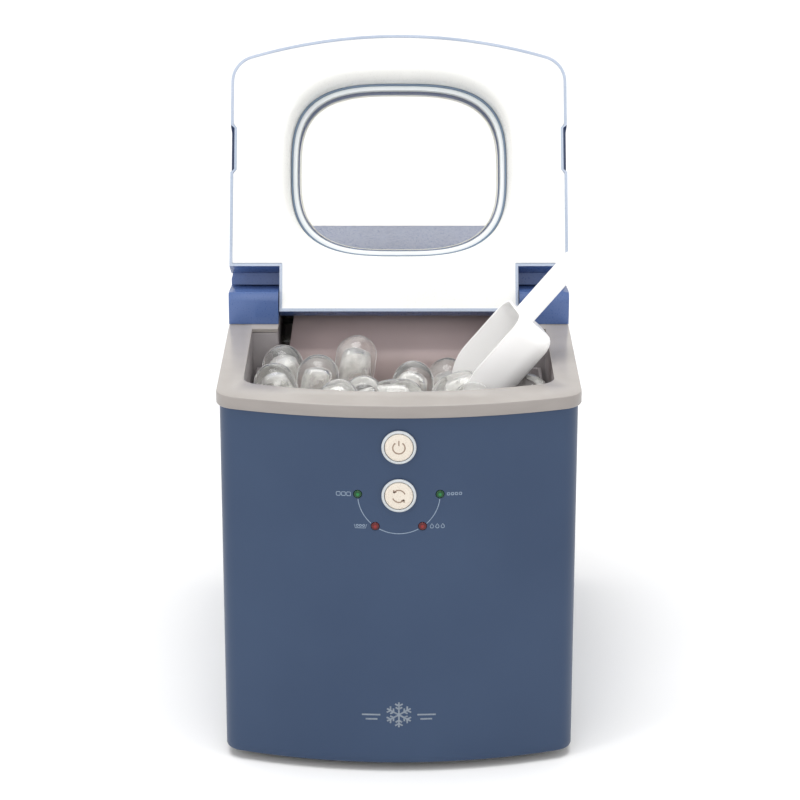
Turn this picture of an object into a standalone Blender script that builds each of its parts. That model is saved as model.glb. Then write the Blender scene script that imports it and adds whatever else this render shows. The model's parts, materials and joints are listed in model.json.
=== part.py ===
"""Countertop bullet-ice maker with its lid open, its basket and its scoop.

Metres, +Z up.  The origin is on the floor under the middle of the cabinet: X is the width, -Y is
the front and Z is the height.  Run it with blender --background --python part.py.
"""
import math

import bmesh
import bpy
from mathutils import Euler, Matrix, Vector

# ---------------------------------------------------------------- driving sizes
GAP = 0.0003                      # between pieces that touch
WALL = 0.0025                     # moulded and sheet walls
MARGIN = 0.01                     # how far a cutter runs past what it cuts

HALF_WIDTH = 0.121                # of the top trim, the lid and the rear cover
FRONT = -0.179
REAR = 0.179
BOW_CENTRE = 0.143                # y of the centre that every bowed front shares
BOW_RADIUS = 0.322                # of the trim's outer edge
CORNER_RADIUS = 0.017             # of the trim's front corners

BODY_INSET = 0.00225              # cabinet walls, in from the trim's edge
BODY_BOTTOM = 0.0063
TRIM_BOTTOM = 0.2548
TRIM_TOP = 0.2635
TRIM_PLATE = 0.0025
SKIRT = 0.0017
BODY_TOP = TRIM_TOP - TRIM_PLATE - 0.0004
FRONT_PANEL_BACK = -0.132         # where the front panel's wrapped corners end
SIDE_PANEL_BACK = 0.1742
REAR_PANEL = (0.1745, 0.1770)
FOOT_HEIGHT = 0.006

OPENING_HALF = 0.104              # mouth of the ice bin
OPENING_FRONT = -0.149
OPENING_BACK = -0.0076
OPENING_CORNER = 0.014
OPENING_BOW = 0.292
BAY_HALF = 0.0858                 # evaporator bay, between the hinge blocks
BAY_BACK = 0.112
BAY_FLOOR = 0.160
TANK_FLOOR = 0.0605
BASKET_BOTTOM = 0.118
BASKET_TOP = 0.236

COVER_FRONT = 0.0032              # front faces of the hinge blocks
COVER_TOP = 0.2895
COVER_NOTCH_BACK = 0.0425
HINGE_Y = 0.0225
HINGE_Z = 0.278
HINGE_PIN_RADIUS = 0.003
LID_OPEN = 118.0                  # degrees from shut to the rest pose
LID_SWING = 0.0195                # radius inside which the hinge blocks clear the lid's rear wall

LID_BOTTOM = 0.2640
LID_TOP = 0.2895
LID_FRONT = -0.1685
LID_BOW = 0.370
LID_CORNER = 0.020
LID_BACK = 0.0027                 # rear wall, beside the tongue
LID_WALL = 0.002
TONGUE_HALF = 0.0852
TONGUE_BACK = 0.0357
TONGUE_ROUND = 0.0115
WINDOW_CENTRE = -0.0720
WINDOW_HALF = (0.078, 0.0646)
WINDOW_POWER = 3.1

ON_OFF_HEIGHT = 0.2345
SELECT_HEIGHT = 0.2009
BUTTON_RADIUS = 0.00935
BUTTON_RING_RADIUS = 0.01155
BUTTON_FACE = -0.1789
LED_RADIUS = 0.00265
LEDS = {"led_large_ice": (-0.0271, 0.2013), "led_small_ice": (0.0271, 0.2013),
        "led_bin_full": (-0.0156, 0.1790), "led_add_water": (0.0156, 0.1790)}

FINGER_COLUMNS = 5
FINGER_ROWS = (0.047, 0.071)
TRAY_PIVOT = (0.086, 0.226)       # y and z

FAN_CENTRE = (0.078, 0.075)       # y and z
FAN_RADIUS = 0.047
FAN_BLADES = 5
COMPRESSOR_CENTRE = (0.045, 0.078)

SCOOP_ROOT = (0.086, -0.074, 0.294)      # where the handle meets the blade
SCOOP_HANDLE = (0.6604, 0.1222, 0.7409)  # the way the handle points
SCOOP_MOUTH = (-0.7126, -0.0830, 0.6960)  # the way the open side faces
SCOOP_BLADE = 0.085
SCOOP_BEND = 0.0376               # radius in which the blade's sides run down to its tip
SCOOP_REACH = 0.052

# ---------------------------------------------------------------- colours
COLOURS = {                       # rgb, roughness, metallic
    "blue": ((0.062, 0.090, 0.165), 0.35, 0.0),
    "trim": ((0.50, 0.48, 0.46), 0.45, 0.0),
    "white": ((0.85, 0.85, 0.83), 0.35, 0.0),
    "cream": ((0.80, 0.74, 0.66), 0.40, 0.0),
    "bin": ((0.22, 0.20, 0.20), 0.45, 0.0),
    "smoke": ((0.22, 0.17, 0.17), 0.25, 0.0),
    "pane": ((0.75, 0.80, 0.84), 0.08, 0.0),
    "gasket": ((0.20, 0.25, 0.32), 0.50, 0.0),
    "steel": ((0.55, 0.55, 0.56), 0.30, 1.0),
    "nickel": ((0.60, 0.58, 0.54), 0.25, 1.0),
    "copper": ((0.60, 0.28, 0.16), 0.35, 1.0),
    "black": ((0.02, 0.02, 0.022), 0.45, 0.0),
    "rubber": ((0.03, 0.03, 0.03), 0.80, 0.0),
    "board": ((0.05, 0.22, 0.10), 0.50, 0.0),
    "green": ((0.05, 0.20, 0.08), 0.15, 0.0),
    "red": ((0.20, 0.03, 0.03), 0.15, 0.0),
}


# ---------------------------------------------------------------- scene and materials
def clear_scene():
    for item in list(bpy.data.objects):
        bpy.data.objects.remove(item, do_unlink=True)


def collection(name):
    group = bpy.data.collections.new(name)
    bpy.context.scene.collection.children.link(group)
    return group


def material(colour):
    found = bpy.data.materials.get(colour)
    if found:
        return found
    rgb, roughness, metallic = COLOURS[colour]
    made = bpy.data.materials.new(colour)
    made.use_nodes = True
    shader = made.node_tree.nodes["Principled BSDF"]
    shader.inputs["Base Color"].default_value = (*rgb, 1.0)
    shader.inputs["Roughness"].default_value = roughness
    shader.inputs["Metallic"].default_value = metallic
    return made


def show(name, mesh, colour):
    """A mesh as an object: a named piece with a colour, or a hidden cutter without one."""
    item = bpy.data.objects.new(name, mesh)
    if colour:
        mesh.materials.append(material(colour))
        PARTS.objects.link(item)
    else:
        CUTTERS.objects.link(item)
        item.hide_render = True
        item.display_type = "WIRE"
    return item


def pivot(name, place, rotation=(0, 0, 0)):
    empty = bpy.data.objects.new(name, None)
    empty.location = place
    empty.rotation_euler = Euler(rotation)
    PARTS.objects.link(empty)
    return empty


def hang(parent, *items):
    """Parent pieces that were modelled where they stand before the parent turns."""
    for item in items:
        item.parent = parent
        item.location = -parent.location


# ---------------------------------------------------------------- outlines
def arc(centre, radius, start, end, steps):
    """Points round an arc, its angles in degrees."""
    angles = [math.radians(start + (end - start) * i / steps) for i in range(steps + 1)]
    return [(centre[0] + radius * math.cos(a), centre[1] + radius * math.sin(a)) for a in angles]


def bowed_front(half, front, bow, corner, back, steps=14):
    """A plan outline from back left, round the bowed front, to back right."""
    bow_y = front + bow
    side = half - corner
    corner_y = bow_y - math.sqrt((bow - corner) ** 2 - side ** 2)
    lean = math.degrees(math.atan2(side, bow_y - corner_y))
    left = arc((-side, corner_y), corner, 180, 270 - lean, 5)
    bowed = arc((0, bow_y), bow, 270 - lean, 270 + lean, steps)
    right = arc((side, corner_y), corner, 270 + lean, 360, 5)
    return [(-half, back)] + left + bowed[1:-1] + right + [(half, back)]


def cabinet_plan(inset, back):
    return bowed_front(HALF_WIDTH - inset, FRONT + inset, BOW_RADIUS - inset,
                       CORNER_RADIUS - inset, back)


def opening_plan(grow, back):
    return bowed_front(OPENING_HALF + grow, OPENING_FRONT - grow, OPENING_BOW + grow,
                       OPENING_CORNER + grow, back)


def lid_plan(inset, back):
    return bowed_front(HALF_WIDTH - inset, LID_FRONT + inset, LID_BOW - inset,
                       LID_CORNER - inset, back)


def superellipse(half_x, half_y, steps=48):
    """The window's outline: squarer than an ellipse, rounder than a box."""
    points = []
    for i in range(steps):
        a = 2 * math.pi * i / steps
        c, s = math.cos(a), math.sin(a)
        points.append((half_x * math.copysign(abs(c) ** (2 / WINDOW_POWER), c),
                       WINDOW_CENTRE + half_y * math.copysign(abs(s) ** (2 / WINDOW_POWER), s)))
    return points


def tongue_profile(inset, start):
    """The lid tongue seen from its side, as (y, z): square below, rounded behind on top."""
    back = TONGUE_BACK - inset
    top = LID_TOP - inset * 1.25
    bottom = LID_BOTTOM if inset == 0 else LID_BOTTOM - MARGIN
    centre = (TONGUE_BACK - TONGUE_ROUND, LID_TOP - TONGUE_ROUND)
    curve = arc(centre, TONGUE_ROUND - inset * 1.25, 0, 90, 5)
    return [(start, bottom), (back, bottom), (back, centre[1])] + curve[1:] + [(start, top)]


# ---------------------------------------------------------------- solids
AXES = {"Z": Matrix.Identity(4),
        "X": Matrix(((0, 0, 1, 0), (1, 0, 0, 0), (0, 1, 0, 0), (0, 0, 0, 1))),
        "Y": Matrix(((1, 0, 0, 0), (0, 0, -1, 0), (0, 1, 0, 0), (0, 0, 0, 1)))}


def prism(name, outline, low, high, colour=None, axis="Z"):
    """A flat outline given thickness along an axis.  X outlines are (y, z), Y outlines (x, z)."""
    curve = bpy.data.curves.new(name, "CURVE")
    curve.dimensions = "2D"
    curve.fill_mode = "BOTH"
    curve.extrude = (high - low) / 2
    spline = curve.splines.new("POLY")
    spline.points.add(len(outline) - 1)
    for point, (u, v) in zip(spline.points, outline):
        point.co = (u, v, 0, 1)
    spline.use_cyclic_u = True
    middle = Vector((0, 0, 0))
    middle["XYZ".index(axis)] = (low + high) / 2
    return as_mesh(name, curve, Matrix.Translation(middle) @ AXES[axis], colour)


def as_mesh(name, curve, place, colour):
    """A curve made a closed mesh at its place, with its loose caps welded on."""
    drawn = bpy.data.objects.new(name + "_curve", curve)
    CUTTERS.objects.link(drawn)
    graph = bpy.context.evaluated_depsgraph_get()
    mesh = bpy.data.meshes.new_from_object(drawn.evaluated_get(graph))
    bpy.data.objects.remove(drawn, do_unlink=True)
    work = bmesh.new()
    work.from_mesh(mesh)
    bmesh.ops.remove_doubles(work, verts=work.verts, dist=1e-6)
    bmesh.ops.recalc_face_normals(work, faces=work.faces)
    work.to_mesh(mesh)
    work.free()
    mesh.transform(place)
    mesh.materials.clear()
    return show(name, mesh, colour)


def box(name, low, high, colour=None):
    work = bmesh.new()
    bmesh.ops.create_cube(work, size=1)
    size = [b - a for a, b in zip(low, high)]
    middle = [(a + b) / 2 for a, b in zip(low, high)]
    bmesh.ops.scale(work, vec=size, verts=work.verts)
    bmesh.ops.translate(work, vec=middle, verts=work.verts)
    return finish_bmesh(name, work, colour)


def cylinder(name, start, end, radius, colour=None, end_radius=None, sides=24):
    """A round bar, or a cone when it has an end radius."""
    along = Vector(end) - Vector(start)
    turn = along.to_track_quat("Z", "Y").to_matrix().to_4x4()
    place = Matrix.Translation((Vector(start) + Vector(end)) / 2) @ turn
    work = bmesh.new()
    bmesh.ops.create_cone(work, cap_ends=True, segments=sides, radius1=radius,
                          radius2=radius if end_radius is None else end_radius,
                          depth=along.length, matrix=place)
    return finish_bmesh(name, work, colour)


def finish_bmesh(name, work, colour):
    mesh = bpy.data.meshes.new(name)
    work.to_mesh(mesh)
    work.free()
    return show(name, mesh, colour)


def turned(name, profile, place, colour, axis="Z", sides=24):
    """A turned piece.  The profile is (radius, height) down its outside, from top to bottom."""
    work = bmesh.new()
    row = [work.verts.new((radius, 0, height)) for radius, height in profile]
    for a, b in zip(row, row[1:]):
        work.edges.new((a, b))
    item = finish_bmesh(name, work, colour)
    screw = item.modifiers.new("turn", "SCREW")
    screw.steps = screw.render_steps = sides
    screw.use_merge_vertices = True
    screw.merge_threshold = 1e-5
    item.location = place
    if axis == "X":
        item.rotation_euler = (0, math.pi / 2, 0)
    elif axis == "-X":
        item.rotation_euler = (0, -math.pi / 2, 0)
    elif axis == "-Y":
        item.rotation_euler = (math.pi / 2, 0, 0)
    elif axis == "Y":
        item.rotation_euler = (-math.pi / 2, 0, 0)
    return item


def tube(name, points, radius, colour):
    """A bent pipe with closed ends."""
    curve = bpy.data.curves.new(name, "CURVE")
    curve.dimensions = "3D"
    curve.bevel_depth = radius
    curve.bevel_resolution = 2
    curve.use_fill_caps = True
    spline = curve.splines.new("POLY")
    spline.points.add(len(points) - 1)
    for point, place in zip(spline.points, points):
        point.co = (*place, 1)
    item = bpy.data.objects.new(name, curve)
    curve.materials.append(material(colour))
    PARTS.objects.link(item)
    return item


def bent(points, radius, steps=4):
    """A route through the points, each corner rounded to the radius."""
    points = [Vector(p) for p in points]
    route = [points[0]]
    for before, here, after in zip(points, points[1:], points[2:]):
        start = here + (before - here).normalized() * radius
        end = here + (after - here).normalized() * radius
        for i in range(steps + 1):
            t = i / steps
            route.append(start.lerp(here, t).lerp(here.lerp(end, t), t))
    return route + [points[-1]]


def wall(name, outline, low, high, thickness, colour):
    """An upright sheet along an open plan outline, thickened inwards."""
    work = bmesh.new()
    rows = [[work.verts.new((x, y, z)) for x, y in outline] for z in (low, high)]
    edges = [work.edges.new(pair) for pair in zip(rows[0], rows[0][1:])]
    edges += [work.edges.new(pair) for pair in zip(rows[1], rows[1][1:])]
    bmesh.ops.bridge_loops(work, edges=edges)
    outward = Vector((0, -1, 0))
    middle = min(work.faces, key=lambda face: abs(face.calc_center_median().x))
    middle.normal_update()
    if middle.normal.dot(outward) < 0:
        bmesh.ops.reverse_faces(work, faces=work.faces)
    item = finish_bmesh(name, work, colour)
    solidify = item.modifiers.new("thickness", "SOLIDIFY")
    solidify.thickness = thickness
    solidify.offset = -1
    solidify.use_even_offset = True
    return item


def combine(target, operation, others):
    for other in others:
        modifier = target.modifiers.new(operation.lower(), "BOOLEAN")
        modifier.operation = operation
        modifier.object = other


def cut(target, *cutters):
    combine(target, "DIFFERENCE", cutters)


def join(target, *pieces):
    combine(target, "UNION", pieces)


def mirrored(x_low, x_high, side):
    """The span of x on the left (-1) or right (+1) side."""
    return (x_low, x_high) if side > 0 else (-x_high, -x_low)


SIDES = {"left": -1, "right": 1}


# ---------------------------------------------------------------- cabinet
def base_and_feet():
    plan = cabinet_plan(BODY_INSET + WALL + GAP, SIDE_PANEL_BACK)
    pan = prism("base_pan", plan, BODY_BOTTOM, BODY_BOTTOM + 0.003, "black")
    for i in range(6):
        y = 0.040 + 0.014 * i
        slot = box("pan_slot", (0.010, y, -MARGIN), (0.080, y + 0.005, 0.02))
        cut(pan, slot)
    for side, sign in SIDES.items():
        for end, y in (("front", -0.135), ("rear", 0.150)):
            turned(f"foot_{end}_{side}", [(0, FOOT_HEIGHT), (0.009, FOOT_HEIGHT), (0.011, 0.003),
                                          (0.0105, 0.0), (0, 0.0)],
                   (sign * 0.094, y, 0), "rubber", sides=20)


def front_panel():
    plan = cabinet_plan(BODY_INSET, FRONT_PANEL_BACK)
    panel = wall("front_panel", plan, BODY_BOTTOM, BODY_TOP, WALL, "blue")
    for height in (ON_OFF_HEIGHT, SELECT_HEIGHT):
        cut(panel, cylinder("button_hole", (0, -0.19, height), (0, -0.16, height), 0.0109))
    for x, z in LEDS.values():
        cut(panel, cylinder("led_hole", (x, -0.19, z), (x, -0.16, z), 0.0030, sides=16))


def side_panels():
    for side, sign in SIDES.items():
        x = mirrored(HALF_WIDTH - BODY_INSET - WALL, HALF_WIDTH - BODY_INSET, sign)
        panel = box(f"{side}_side_panel", (x[0], FRONT_PANEL_BACK + GAP, BODY_BOTTOM),
                    (x[1], SIDE_PANEL_BACK, BODY_TOP), "blue")
        for i in range(10):
            z = 0.034 + 0.010 * i
            cut(panel, box("vent", (x[0] - MARGIN, 0.030, z), (x[1] + MARGIN, 0.126, z + 0.0045)))
        if side == "right":
            cut(panel, cylinder("cap_hole", (0.10, -0.09, 0.030), (0.13, -0.09, 0.030), 0.0084))


def rear_panel():
    panel = box("rear_panel", (-0.1184, REAR_PANEL[0], BODY_BOTTOM),
                (0.1184, REAR_PANEL[1], BODY_TOP), "black")
    for i in range(8):
        z = 0.120 + 0.012 * i
        cut(panel, box("grille", (-0.080, 0.17, z), (0.080, 0.19, z + 0.005)))
    cut(panel, cylinder("gland_hole", (0.085, 0.17, 0.035), (0.085, 0.19, 0.035), 0.0078))
    turned("cord_gland", [(0.0040, 0.0012), (0.0095, 0.0012), (0.0095, 0.0), (0.0074, 0.0),
                          (0.0074, -0.008), (0.0040, -0.008), (0.0040, 0.0012)],
           (0.085, REAR_PANEL[1] + GAP, 0.035), "rubber", axis="Y")
    for side, sign in SIDES.items():
        for end, z in (("lower", 0.018), ("upper", 0.245)):
            x = sign * 0.108
            cut(panel, cylinder("screw_hole", (x, 0.17, z), (x, 0.19, z), 0.0020, sides=12))
            turned(f"rear_screw_{end}_{side}",
                   [(0, 0.0012), (0.0030, 0.0012), (0.0036, 0.0), (0.0016, 0.0),
                    (0.0016, -0.009), (0, -0.0105)],
                   (x, REAR_PANEL[1] + GAP, z), "steel", axis="Y", sides=12)


def top_trim():
    outer = cabinet_plan(0, REAR)
    trim = prism("top_trim", outer, TRIM_BOTTOM, TRIM_TOP, "trim")
    under = cabinet_plan(SKIRT, REAR - SKIRT)
    mouth = opening_plan(0, OPENING_BACK)
    bay = box("bay_mouth", (-BAY_HALF, OPENING_BACK - 0.001, 0.25), (BAY_HALF, 0.046, 0.27))
    cut(trim, prism("under_trim", under, 0.25, TRIM_TOP - TRIM_PLATE),
        prism("bin_mouth", mouth, 0.25, 0.27), bay)


def rear_cover():
    corner = 0.004
    side = HALF_WIDTH - corner
    section = [(-HALF_WIDTH, TRIM_TOP + GAP)]
    section += arc((-side, COVER_TOP - corner), corner, 180, 90, 4)
    section += arc((side, COVER_TOP - corner), corner, 90, 0, 4)
    section += [(HALF_WIDTH, TRIM_TOP + GAP)]
    cover = prism("rear_top_cover", section, COVER_FRONT, REAR, "blue", axis="Y")
    swing = arc((HINGE_Y, HINGE_Z), LID_SWING, 171.8, 153.1, 5)
    pocket = ([(-0.01, swing[0][1])] + swing
              + [(0.0400, 0.2818), (COVER_NOTCH_BACK, 0.2818), (COVER_NOTCH_BACK, 0.30),
                 (-0.01, 0.30)])
    cut(cover,
        box("tongue_notch", (-BAY_HALF, -0.01, 0.25), (BAY_HALF, COVER_NOTCH_BACK, 0.30)),
        prism("lid_pocket", pocket, -0.13, 0.13, axis="X"),
        box("cover_hollow", (-0.1185, 0.0450, 0.25), (0.1185, REAR - WALL, 0.2870)))
    for sign in SIDES.values():
        x = mirrored(BAY_HALF + WALL, 0.1185, sign)
        cut(cover, box("block_hollow", (x[0], 0.0057, 0.25), (x[1], 0.0460, 0.2790)))
        pin = mirrored(0.080, 0.095, sign)
        cut(cover, cylinder("pin_hole", (pin[0], HINGE_Y, HINGE_Z), (pin[1], HINGE_Y, HINGE_Z),
                            HINGE_PIN_RADIUS + 0.0003, sides=16))
        head = mirrored(BAY_HALF + WALL, 0.1100, sign)
        cut(cover, cylinder("pin_head_room", (head[0], HINGE_Y, HINGE_Z),
                            (head[1], HINGE_Y, HINGE_Z), 0.0046, sides=16))
    for side, sign in SIDES.items():
        turned(f"hinge_pin_{side}",
               [(0, 0.0175), (0.0042, 0.0175), (0.0042, 0.0150), (0.0030, 0.0150),
                (0.0030, 0.0005), (0.0025, 0.0), (0, 0.0)],
               (sign * 0.0790, HINGE_Y, HINGE_Z), "steel", axis="X" if sign > 0 else "-X",
               sides=16)


# ---------------------------------------------------------------- lid
def lid_shell():
    shell = prism("lid_shell", lid_plan(0, LID_BACK), LID_BOTTOM, LID_TOP, "blue")
    lip = box("lid_lip", (-0.1198, 0.001, 0.2874), (0.1198, 0.0112, LID_TOP))
    tongue = prism("lid_tongue", tongue_profile(0, 0.0), -TONGUE_HALF, TONGUE_HALF, axis="X")
    hollow = prism("lid_hollow", lid_plan(LID_WALL, LID_BACK - LID_WALL),
                   LID_BOTTOM - MARGIN, LID_TOP - WALL)
    tongue_hollow = prism("tongue_hollow", tongue_profile(LID_WALL, -0.003),
                          LID_WALL - TONGUE_HALF, TONGUE_HALF - LID_WALL, axis="X")
    window = prism("shell_window", superellipse(0.072, 0.058), 0.28, 0.30)
    bore = cylinder("lid_pin_bore", (-0.10, HINGE_Y, HINGE_Z), (0.10, HINGE_Y, HINGE_Z),
                    HINGE_PIN_RADIUS + 0.0005, sides=16)
    join(shell, lip, tongue)
    cut(shell, hollow, tongue_hollow, window, bore)
    pieces = [shell, lip, tongue, hollow, tongue_hollow, window, bore]
    for sign in SIDES.values():
        x = mirrored(0.1198, 0.13, sign)
        grip = box("finger_grip", (x[0], -0.1003, 0.25), (x[1], -0.0673, 0.2800))
        cut(shell, grip)
        pieces.append(grip)
    return pieces


def lid_liner():
    inset = LID_WALL + 0.0004
    top = LID_BOTTOM + WALL
    liner = prism("lid_liner", lid_plan(inset, 0.0003), LID_BOTTOM + 0.0003, top, "white")
    tongue = box("liner_tongue", (-0.0828, -0.001, LID_BOTTOM + 0.0003), (0.0828, 0.0333, top))
    collar = prism("liner_collar", superellipse(WINDOW_HALF[0] + 0.0022, WINDOW_HALF[1] + 0.0022),
                   0.2655, 0.2812)
    hole = prism("liner_hole", superellipse(*WINDOW_HALF), 0.25, 0.29)
    join(liner, tongue, collar)
    cut(liner, hole)
    pieces = [liner, tongue, collar, hole]
    for sign in SIDES.values():
        x = mirrored(0.1150, 0.13, sign)
        grip = box("liner_grip", (x[0], -0.1003, 0.25), (x[1], -0.0673, 0.2800))
        cut(liner, grip)
        pieces.append(grip)
    return pieces


def lid_window():
    gasket = prism("window_gasket", superellipse(0.077, 0.063), 0.2815, 0.2839, "gasket")
    bore = prism("gasket_bore", superellipse(0.072, 0.058), 0.27, 0.29)
    cut(gasket, bore)
    pane = prism("lid_window", superellipse(0.077, 0.063), 0.2842, LID_TOP - WALL - GAP, "pane")
    return [gasket, bore, pane]


def lid():
    axis = pivot("lid_hinge_axis", (0, HINGE_Y, HINGE_Z))
    hang(axis, *lid_shell(), *lid_liner(), *lid_window())
    axis.rotation_euler = (math.radians(-LID_OPEN), 0, 0)


# ---------------------------------------------------------------- ice bin, basket and scoop
def water_tank():
    tank = prism("water_tank", opening_plan(WALL, OPENING_BACK + WALL), TANK_FLOOR - WALL,
                 BODY_TOP, "bin")
    bay = box("bay_shell", (-BAY_HALF - WALL, OPENING_BACK, BAY_FLOOR - WALL),
              (BAY_HALF + WALL, BAY_BACK + WALL, BODY_TOP))
    join(tank, bay)
    cut(tank, prism("tank_hollow", opening_plan(0, OPENING_BACK), TANK_FLOOR, 0.27),
        box("bay_hollow", (-BAY_HALF, OPENING_BACK - 0.001, BAY_FLOOR),
            (BAY_HALF, BAY_BACK, 0.27)))
    for sign in SIDES.values():
        x = mirrored(0.0965, OPENING_HALF + 0.0005, sign)
        join(tank, box("basket_ledge", (x[0], -0.118, TANK_FLOOR - 0.001),
                       (x[1], -0.030, BASKET_BOTTOM - GAP)))
    shaft_y, shaft_z = TRAY_PIVOT
    cut(tank,
        cylinder("shaft_bore", (-0.10, shaft_y, shaft_z), (0.10, shaft_y, shaft_z), 0.0034,
                 sides=16),
        cylinder("drain_bore", (0.082, -0.09, 0.05), (0.082, -0.09, 0.07), 0.005, sides=16),
        cylinder("hose_bore", (-0.10, 0.052, 0.236), (-0.08, 0.052, 0.236), 0.0042, sides=16),
        cylinder("suction_bore", (0.08, 0.059, 0.2455), (0.10, 0.059, 0.2455), 0.0036, sides=16),
        cylinder("liquid_bore", (-0.10, 0.071, 0.2455), (-0.08, 0.071, 0.2455), 0.0026,
                 sides=16))


def ice_basket():
    inset = 0.003
    plan = bowed_front(OPENING_HALF - inset, OPENING_FRONT + 0.0035, OPENING_BOW - 0.0035,
                       OPENING_CORNER - 0.0005, OPENING_BACK - 0.0034)
    thin = 0.0022
    inner = bowed_front(OPENING_HALF - inset - thin, OPENING_FRONT + 0.0035 + thin,
                        OPENING_BOW - 0.0035 - thin, OPENING_CORNER - 0.0005 - thin,
                        OPENING_BACK - 0.0034 - thin)
    basket = prism("ice_basket", plan, BASKET_BOTTOM, BASKET_TOP, "bin")
    cut(basket, prism("basket_hollow", inner, BASKET_BOTTOM + WALL, BASKET_TOP + MARGIN),
        box("basket_chute", (-0.080, -0.02, 0.166), (0.080, 0.0, 0.25)))
    for i in range(7):
        x = -0.072 + 0.024 * i
        cut(basket, box("basket_slot", (x - 0.003, -0.115, 0.11), (x + 0.003, -0.035, 0.13)))


def scoop():
    axis = pivot("scoop_root", SCOOP_ROOT)
    along = Vector(SCOOP_HANDLE).normalized()
    mouth = Vector(SCOOP_MOUTH)
    mouth = (mouth - along * mouth.dot(along)).normalized()
    across = mouth.cross(along)
    axis.rotation_euler = Matrix((across, mouth, along)).transposed().to_euler()
    half, rim, keel, corner, thin = 0.0275, 0.0086, -0.0245, 0.0145, 0.0016

    def trough(inset, top):
        """The blade's section: two upright sides and a round-cornered bottom."""
        w, low, r = half - inset, keel + inset, corner - inset
        return ([(-w, top)] + arc((-w + r, low + r), r, 180, 270, 5)
                + arc((w - r, low + r), r, 270, 360, 5) + [(w, top)])

    blade = prism("ice_scoop", trough(0, rim), -SCOOP_BLADE, 0, "white")
    hollow = prism("scoop_hollow", trough(thin, rim + MARGIN), -SCOOP_BLADE - MARGIN, -0.002)
    handle = prism("scoop_handle", [(-0.0085, -0.006), (0.0085, -0.006), (0.0085, 0.006),
                                    (-0.0085, 0.006)], -0.001, SCOOP_REACH)
    bend = (rim - SCOOP_BEND, -0.045)
    nose = prism("scoop_nose", arc(bend, SCOOP_BEND, 0, -88, 8) + [(keel - MARGIN, -0.12), (0.05, -0.12),
                                                             (0.05, -0.045)],
                 -0.05, 0.05, axis="X")
    join(blade, handle)
    cut(blade, hollow, nose)
    for item in (blade, hollow, handle, nose):
        item.parent = axis


# ---------------------------------------------------------------- ice machinery
def evaporator_shield():
    work = bmesh.new()
    profile = [(0.060, 0.2600), (0.045, 0.2600), (0.013, 0.2370), (0.013, 0.2060)]
    rows = [[work.verts.new((x, y, z)) for y, z in profile] for x in (-0.079, 0.079)]
    edges = [work.edges.new(pair) for row in rows for pair in zip(row, row[1:])]
    bmesh.ops.bridge_loops(work, edges=edges)
    shield = finish_bmesh("evaporator_shield", work, "smoke")
    solidify = shield.modifiers.new("thickness", "SOLIDIFY")
    solidify.thickness = 0.0018
    solidify.offset = 0


def evaporator():
    plate = box("evaporator", (-0.070, 0.036, 0.2420), (0.070, 0.082, 0.2490), "nickel")
    for column in range(FINGER_COLUMNS):
        x = 0.028 * (column - (FINGER_COLUMNS - 1) / 2)
        for y in FINGER_ROWS:
            join(plate, cylinder("finger", (x, y, 0.2430), (x, y, 0.2160), 0.0065,
                                 end_radius=0.0052, sides=12))


def water_tray():
    pivot_y, pivot_z = TRAY_PIVOT
    axis = pivot("tray_pivot_axis", (0, pivot_y, pivot_z))
    tray = box("water_tray", (-0.076, 0.0355, 0.203), (0.076, 0.0825, 0.229), "white")
    ears = box("tray_ears", (-0.076, 0.0800, 0.2195), (0.076, 0.0920, 0.2325))
    hollow = box("tray_hollow", (-0.0742, 0.0373, 0.2048), (0.0742, 0.0807, 0.25))
    between = box("ear_gap", (-0.0742, 0.0826, 0.2048), (0.0742, 0.10, 0.25))
    bore = cylinder("ear_bore", (-0.08, pivot_y, pivot_z), (0.08, pivot_y, pivot_z), 0.0033,
                    sides=16)
    join(tray, ears)
    cut(tray, hollow, between, bore)
    shaft = cylinder("tray_shaft", (-0.0890, pivot_y, pivot_z), (0.0890, pivot_y, pivot_z),
                     0.0030, "steel", sides=16)
    hang(axis, tray, ears, hollow, between, bore, shaft)
    motor = box("tray_motor", (0.0894, 0.070, 0.209), (0.1110, 0.100, 0.240), "black")
    join(motor, box("motor_flange", (0.0894, 0.064, 0.219), (0.0915, 0.106, 0.230)))


def compressor():
    x, y = COMPRESSOR_CENTRE
    profile = [(0, 0.140), (0.014, 0.1395), (0.030, 0.136), (0.042, 0.128), (0.049, 0.115),
               (0.050, 0.100), (0.050, 0.050), (0.048, 0.034), (0.040, 0.022), (0.024, 0.0165),
               (0, 0.0155)]
    pot = turned("compressor", profile, (x, y, 0), "black", sides=28)
    for i in range(3):
        a = math.radians(90 + 120 * i)
        foot = (x + 0.062 * math.cos(a), y + 0.062 * math.sin(a))
        tab = box("compressor_tab", (-0.048, -0.011, 0.0150), (0.012, 0.011, 0.0180))
        tab.location = (foot[0], foot[1], 0)
        tab.rotation_euler = (0, 0, a)
        join(pot, tab)
        turned(f"compressor_grommet_{i + 1}",
               [(0, 0.0147), (0.0075, 0.0147), (0.0085, 0.012), (0.0075, 0.0096), (0, 0.0096)],
               (foot[0], foot[1], 0), "rubber", sides=16)


def condenser():
    """A block of thin fins on a core, drawn as a comb seen from above."""
    front, fins, pitch, fin = 0.0240, 18, 0.0060, 0.0022
    inner, core_in, core_out, outer = -0.0880, -0.0960, -0.1040, -0.1120
    right, left = [], []
    for i in range(fins):
        y = front + pitch * i
        right += [(core_in, y), (inner, y), (inner, y + fin), (core_in, y + fin)]
        left += [(core_out, y), (outer, y), (outer, y + fin), (core_out, y + fin)]
    prism("condenser", right + left[::-1], 0.020, 0.130, "steel")


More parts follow.
